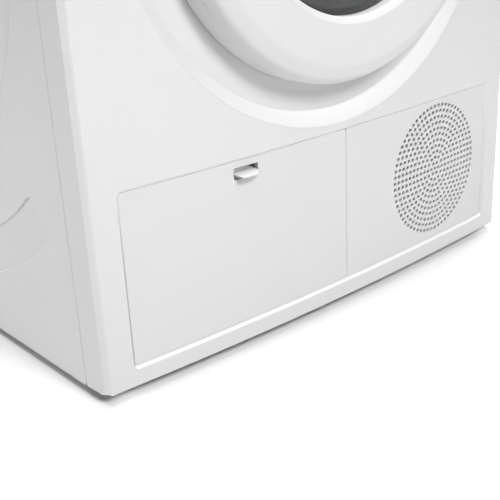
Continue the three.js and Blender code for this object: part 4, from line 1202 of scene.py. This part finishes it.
def bulkhead_collar():
    """The front bulkhead: its plate, the collar that the door's seal meets, and the filter's pocket."""
    half, foot, head, arch_radius, hole = 290.5, 212, 722, 272, 174
    side = math.asin(math.sqrt(arch_radius ** 2 - (head - DRUM_Z) ** 2) / arch_radius)
    angles = np.linspace(side, -side, 25)
    arch = [(arch_radius * math.sin(a), DRUM_Z + arch_radius * math.cos(a)) for a in angles]
    outline = [(-half, foot), (half, foot), (half, head)] + arch + [(-half, head)]
    polygon = np.array(outline)
    keep = lambda u, v: inside_polygon(u, v, polygon) & (np.hypot(u, v - MOUTH_Z) > hole)
    flat = lambda u, v: np.column_stack([u, 0 * u - 246, v])
    shape = sheet([outline, circle(0, MOUTH_Z, hole, 96)], [], keep, flat, 6)
    # the collar, rolled out flat: u runs round the mouth from its foot, v runs back
    radius, front, back, edge = 172, -274.6, -240, 1.8
    reach = math.radians(19.9) * radius
    slot = (-reach, reach, -267, -249)
    span = math.pi * radius
    closed = [rectangle(-span, span, front, back), rectangle(*slot)]
    lines = [[(u, front), (u, back)] for u in np.linspace(-span, span, 121)[1:-1]]
    lines += [[(-span, front + d), (span, front + d)] for d in (0.3, 0.9, edge)]

    def round_mouth(u, v):
        turn = u / radius
        r = radius + edge_drop(v - front, edge)
        return np.column_stack([r * np.sin(turn), v, MOUTH_Z - r * np.cos(turn)])

    shape += sheet(closed, lines, lambda u, v: ~in_rectangle(u, v, *slot), round_mouth, 3.6)
    y0, y1, y2, y3 = -269.5, -267.2, -249, -246.4
    for x0, x1, *rest in (
        (-61, 61, y0, y1, 212, 290), (-61, 61, y2, y3, 212, 290),
        (-61, -58.5, y0, y3, 212, 294), (58.5, 61, y0, y3, 212, 294),
        (-61, -30, y1, y2, 212, 214), (30, 61, y1, y2, 212, 214),
    ):
        shape += block(x0, x1, *rest, 0.4)
    for x in (-145.25, 145.25):
        shape += rod(11, -246, -237, x, 228.42) + rod(5, -240, -198, x, 228.42)
    return shape


def lint_filter():
    y0, y1 = -265, -251
    bars = [(-56, 56, 216, 222), (-56, 56, 290, 299), (-56, -50, 219, 296), (50, 56, 219, 296)]
    shape = Shape()
    for x0, x1, z0, z1 in bars:
        shape += block(x0, x1, y0, y1, z0, z1, 1.2)
    for x in (-25, 0, 25):
        shape += block(x - 1.5, x + 1.5, y0 + 1, y1 - 1, 221, 291, 0.5)
    wire, pitch, edge = 0.35, 3.5, 0.1
    for x in np.arange(-47, 48, pitch):
        shape += block(x - wire, x + wire, y1 - 3, y1 - 2.3, 221, 291, edge)
    for z in np.arange(224.5, 290, pitch):
        shape += block(-51, 51, y1 - 3.2, y1 - 2.5, z - wire, z + wire, edge)
    return shape + prism(boxed(20, 5, 3.5, 0, 302), y0 + 4, y1 - 4, "y", 1.4)


add("drum_shell_pressed", drum_shell(), "drum", STAINLESS, "drum_shell")
add("drum_back_perforated", drum_back(), "drum", STAINLESS, "drum_back")
for number in range(3):
    add(f"lifter_{number + 1}_moulded", lifter(number), "drum", PLASTIC, f"lifter_{number + 1}")
add("front_bulkhead_collar", bulkhead_collar(), "root", GREY, "front_bulkhead")
add("lint_filter_screen", lint_filter(), "lint_filter", DARK, "lint_filter")


# ---- Behind the service flap: the exchanger's cover and its two locking levers ----

LEVER_Z = 110


def exchanger_cover():
    cx, cz, half_x, half_z, edge = -131, 112, 132, 57, 2.0
    corner, bead_in, bead_corner, grip = 9, 12, 6, (29, 11, 6)
    inward = lambda u, v: -rounded_box_distance(u - cx, v - cz, half_x, half_z, corner)
    loops = nested(half_x, half_z, corner, cx, cz, 4, (0, 0.1, 0.5, 1.1, edge, 2.6))
    for inset in range(bead_in, bead_in + 5):
        loops.append(boxed(half_x - inset, half_z - inset, bead_corner, cx, cz))
    loops += nested(*grip, cx, LEVER_Z, 4, (0, 0.7, 1.5, 2.3, 3))

    def place(u, v):
        bead = -rounded_box_distance(u - cx, v - cz, half_x - bead_in, half_z - bead_in, bead_corner)
        dip = 3.6 * slope_step(-rounded_box_distance(u - cx, v - LEVER_Z, *grip) / 3)
        rise = 1.5 * smooth(bead / 2) * smooth((4 - bead) / 2)
        return np.column_stack([u, edge_drop(inward(u, v), edge) - 255.5 + dip - rise, v])

    cover = sheet(loops, [], lambda u, v: inward(u, v) > 0, place, 1.3)
    cover += prism(boxed(39.6, 4.8, 3, cx, LEVER_Z), -263.4, -258.6, "y", 1.4)
    for x in (cx - 35, cx + 35):
        cover += block(x - 4, x + 4, -260, -254.5, LEVER_Z - 4.6, LEVER_Z + 4.6, 0.8)
    return cover


def lock_lever(x, side):
    hub = [(0.6, -8.5), (5, -8.5), (8.4, -8.1), (9, -7.2), (9, -0.8), (8.6, 0), (5, 0), (5, 5), (1, 5)]
    arm = prism(boxed(17, 5, 4.6, 12 * side, 0), -6.5, -1, "y", 1.0)
    ridge = prism(boxed(8, 1.0, 0.9, 15 * side, 0), -7.9, -6, "y", 0.4)
    return (spun(hub, (0, 0, 0), "y", 40) + arm + ridge).moved(x, -256, LEVER_Z)


add("exchanger_cover_moulded", exchanger_cover(), "root", GREY, "exchanger_cover")
for hand, x, side in (("left", -232, -1), ("right", -30, 1)):
    lever = f"lock_lever_{hand}"
    add(lever + "_moulded", lock_lever(x, side), lever, PLASTIC, lever)


# ---- Water tank, hinge and hook ----

HINGE = (216, -302)  # x and y of the door's pin


def drawer_tank():
    outer = [(3, 731), (0.8, 731.8), (0, 734), (0, 795.6), (0.5, 797)]
    inner = [(2.2, 797), (2.6, 795.6), (2.6, 736), (5, 733.6)]
    rings = []
    for inset, z in outer + inner:
        loop = boxed(76 - inset, 232 - inset, 7 - inset, -202, -32, 5)
        rings.append([(x, y, z) for x, y in loop])
    tank = ringed(rings)
    for y in range(-180, 200, 60):
        for x0 in (-278, -127.2):
            tank += block(x0, x0 + 1.2, y - 1, y + 1, 738, 790, 0.3)
    return tank


def hinge_bracket():
    shape = prism(boxed(6, 45, 3, 218, MOUTH_Z), -279, -276.8, "y", 0.4)
    arm = fillet([(211, -277), (211, -307), (221, -307), (221, -277)], [0, 4.5, 4.5, 0])
    for z in (MOUTH_Z - 42, MOUTH_Z + 42):
        shape += prism(arm, z - 3, z + 3, "z", 0.7)
    return shape + rod(3, MOUTH_Z - 45, MOUTH_Z + 45, *HINGE, "z", 0.6)


def door_hinge():
    leaf = fillet([(208.6, -307), (214, -307), (214, -297), (208.6, -297)], 0.8)
    shape = prism(leaf, MOUTH_Z - 36, MOUTH_Z + 36, "z", 0.6)
    knuckle = [(3.4, -36), (4.6, -36), (5, -35.5), (5, 35.5), (4.6, 36), (3.4, 36)]
    return shape + lathe(knuckle, (*HINGE, MOUTH_Z), "z", 28)


def door_hook():
    hook = [(-187, -277.2), (-187, -260.4), (-191, -260), (-197, -262.6), (-197, -264), (-193, -264)]
    hook = fillet(hook + [(-193, -277.2)], [0, 1.5, 1.5, 0.8, 0.6, 0.8, 0])
    return prism(hook, MOUTH_Z - 5, MOUTH_Z + 5, "z", 0.6)


add("drawer_tank_moulded", drawer_tank(), "water_drawer", PLASTIC, "drawer_tank")
add("hinge_bracket_pressed", hinge_bracket(), "root", STEEL, "hinge_bracket")
add("door_hinge_leaf", door_hinge(), "door", STEEL, "door_hinge")
add("door_hook_pressed", door_hook(), "door", STEEL, "door_hook")


# ---- Floor, light and camera ----

FLOOR_REACH = 30

floor_mesh = bpy.data.meshes.new("floor")
floor_plan = rectangle(-FLOOR_REACH, FLOOR_REACH, -FLOOR_REACH, FLOOR_REACH)
floor_mesh.from_pydata([(x, y, 0) for x, y in floor_plan], [], [(0, 1, 2, 3)])
floor = placed("floor", floor_mesh)
floor_paint = bpy.data.materials.new("floor")
floor_paint.use_nodes = True
floor_shader = floor_paint.node_tree.nodes["Principled BSDF"].inputs
floor_shader["Base Color"].default_value = (0.95, 0.95, 0.95, 1)
floor_shader["Roughness"].default_value = 0.9
floor_mesh.materials.append(floor_paint)

world = bpy.data.worlds.new("studio")
bpy.context.scene.world = world
world.use_nodes = True
sky = world.node_tree.nodes["Background"].inputs
sky["Color"].default_value = (1, 1, 1, 1)
sky["Strength"].default_value = 0.03


def area_light(name, place, aim, size, watts):
    lamp = bpy.data.lights.new(name, "AREA")
    lamp.shape = "RECTANGLE"
    lamp.size, lamp.size_y = size
    lamp.energy = watts
    holder = placed(name, lamp)
    holder.location = place
    holder.rotation_euler = (Vector(aim) - Vector(place)).to_track_quat("-Z", "Y").to_euler()


area_light("key", (-0.3, -1.9, 1.5), (-0.1, -0.28, 0.25), (0.6, 0.6), 37.5)
area_light("top", (-0.6, -0.8, 4.0), (-0.2, -0.2, 0.0), (2.6, 2.6), 75)
area_light("side", (-3.2, 1.2, 0.7), (-0.3, 0.0, 0.3), (0.8, 0.8), 44)
area_light("rear", (1.6, 3.2, 1.6), (0.0, 0.3, 0.4), (1.6, 1.6), 70)
area_light("right", (3.5, 0.9, 1.4), (0.3, 0.0, 0.4), (1.4, 1.4), 60)

lens = bpy.data.cameras.new("camera")
lens.lens = 65.924
lens.sensor_width = 36
lens.clip_start = 0.05
lens.clip_end = 60
camera = placed("camera", lens)
right = Vector((0.74426843, -0.66625086, -0.04662932))
up = Vector((0.28820496, 0.25740230, 0.92232422))
forward = Vector((0.60249681, 0.69989560, -0.38359321))
turn = Matrix((right, up, -forward)).transposed().to_4x4()
camera.matrix_world = Matrix.Translation((-0.66572, -0.91277, 0.44886)) @ turn
bpy.context.scene.camera = camera
bpy.context.scene.view_settings.view_transform = "Standard"
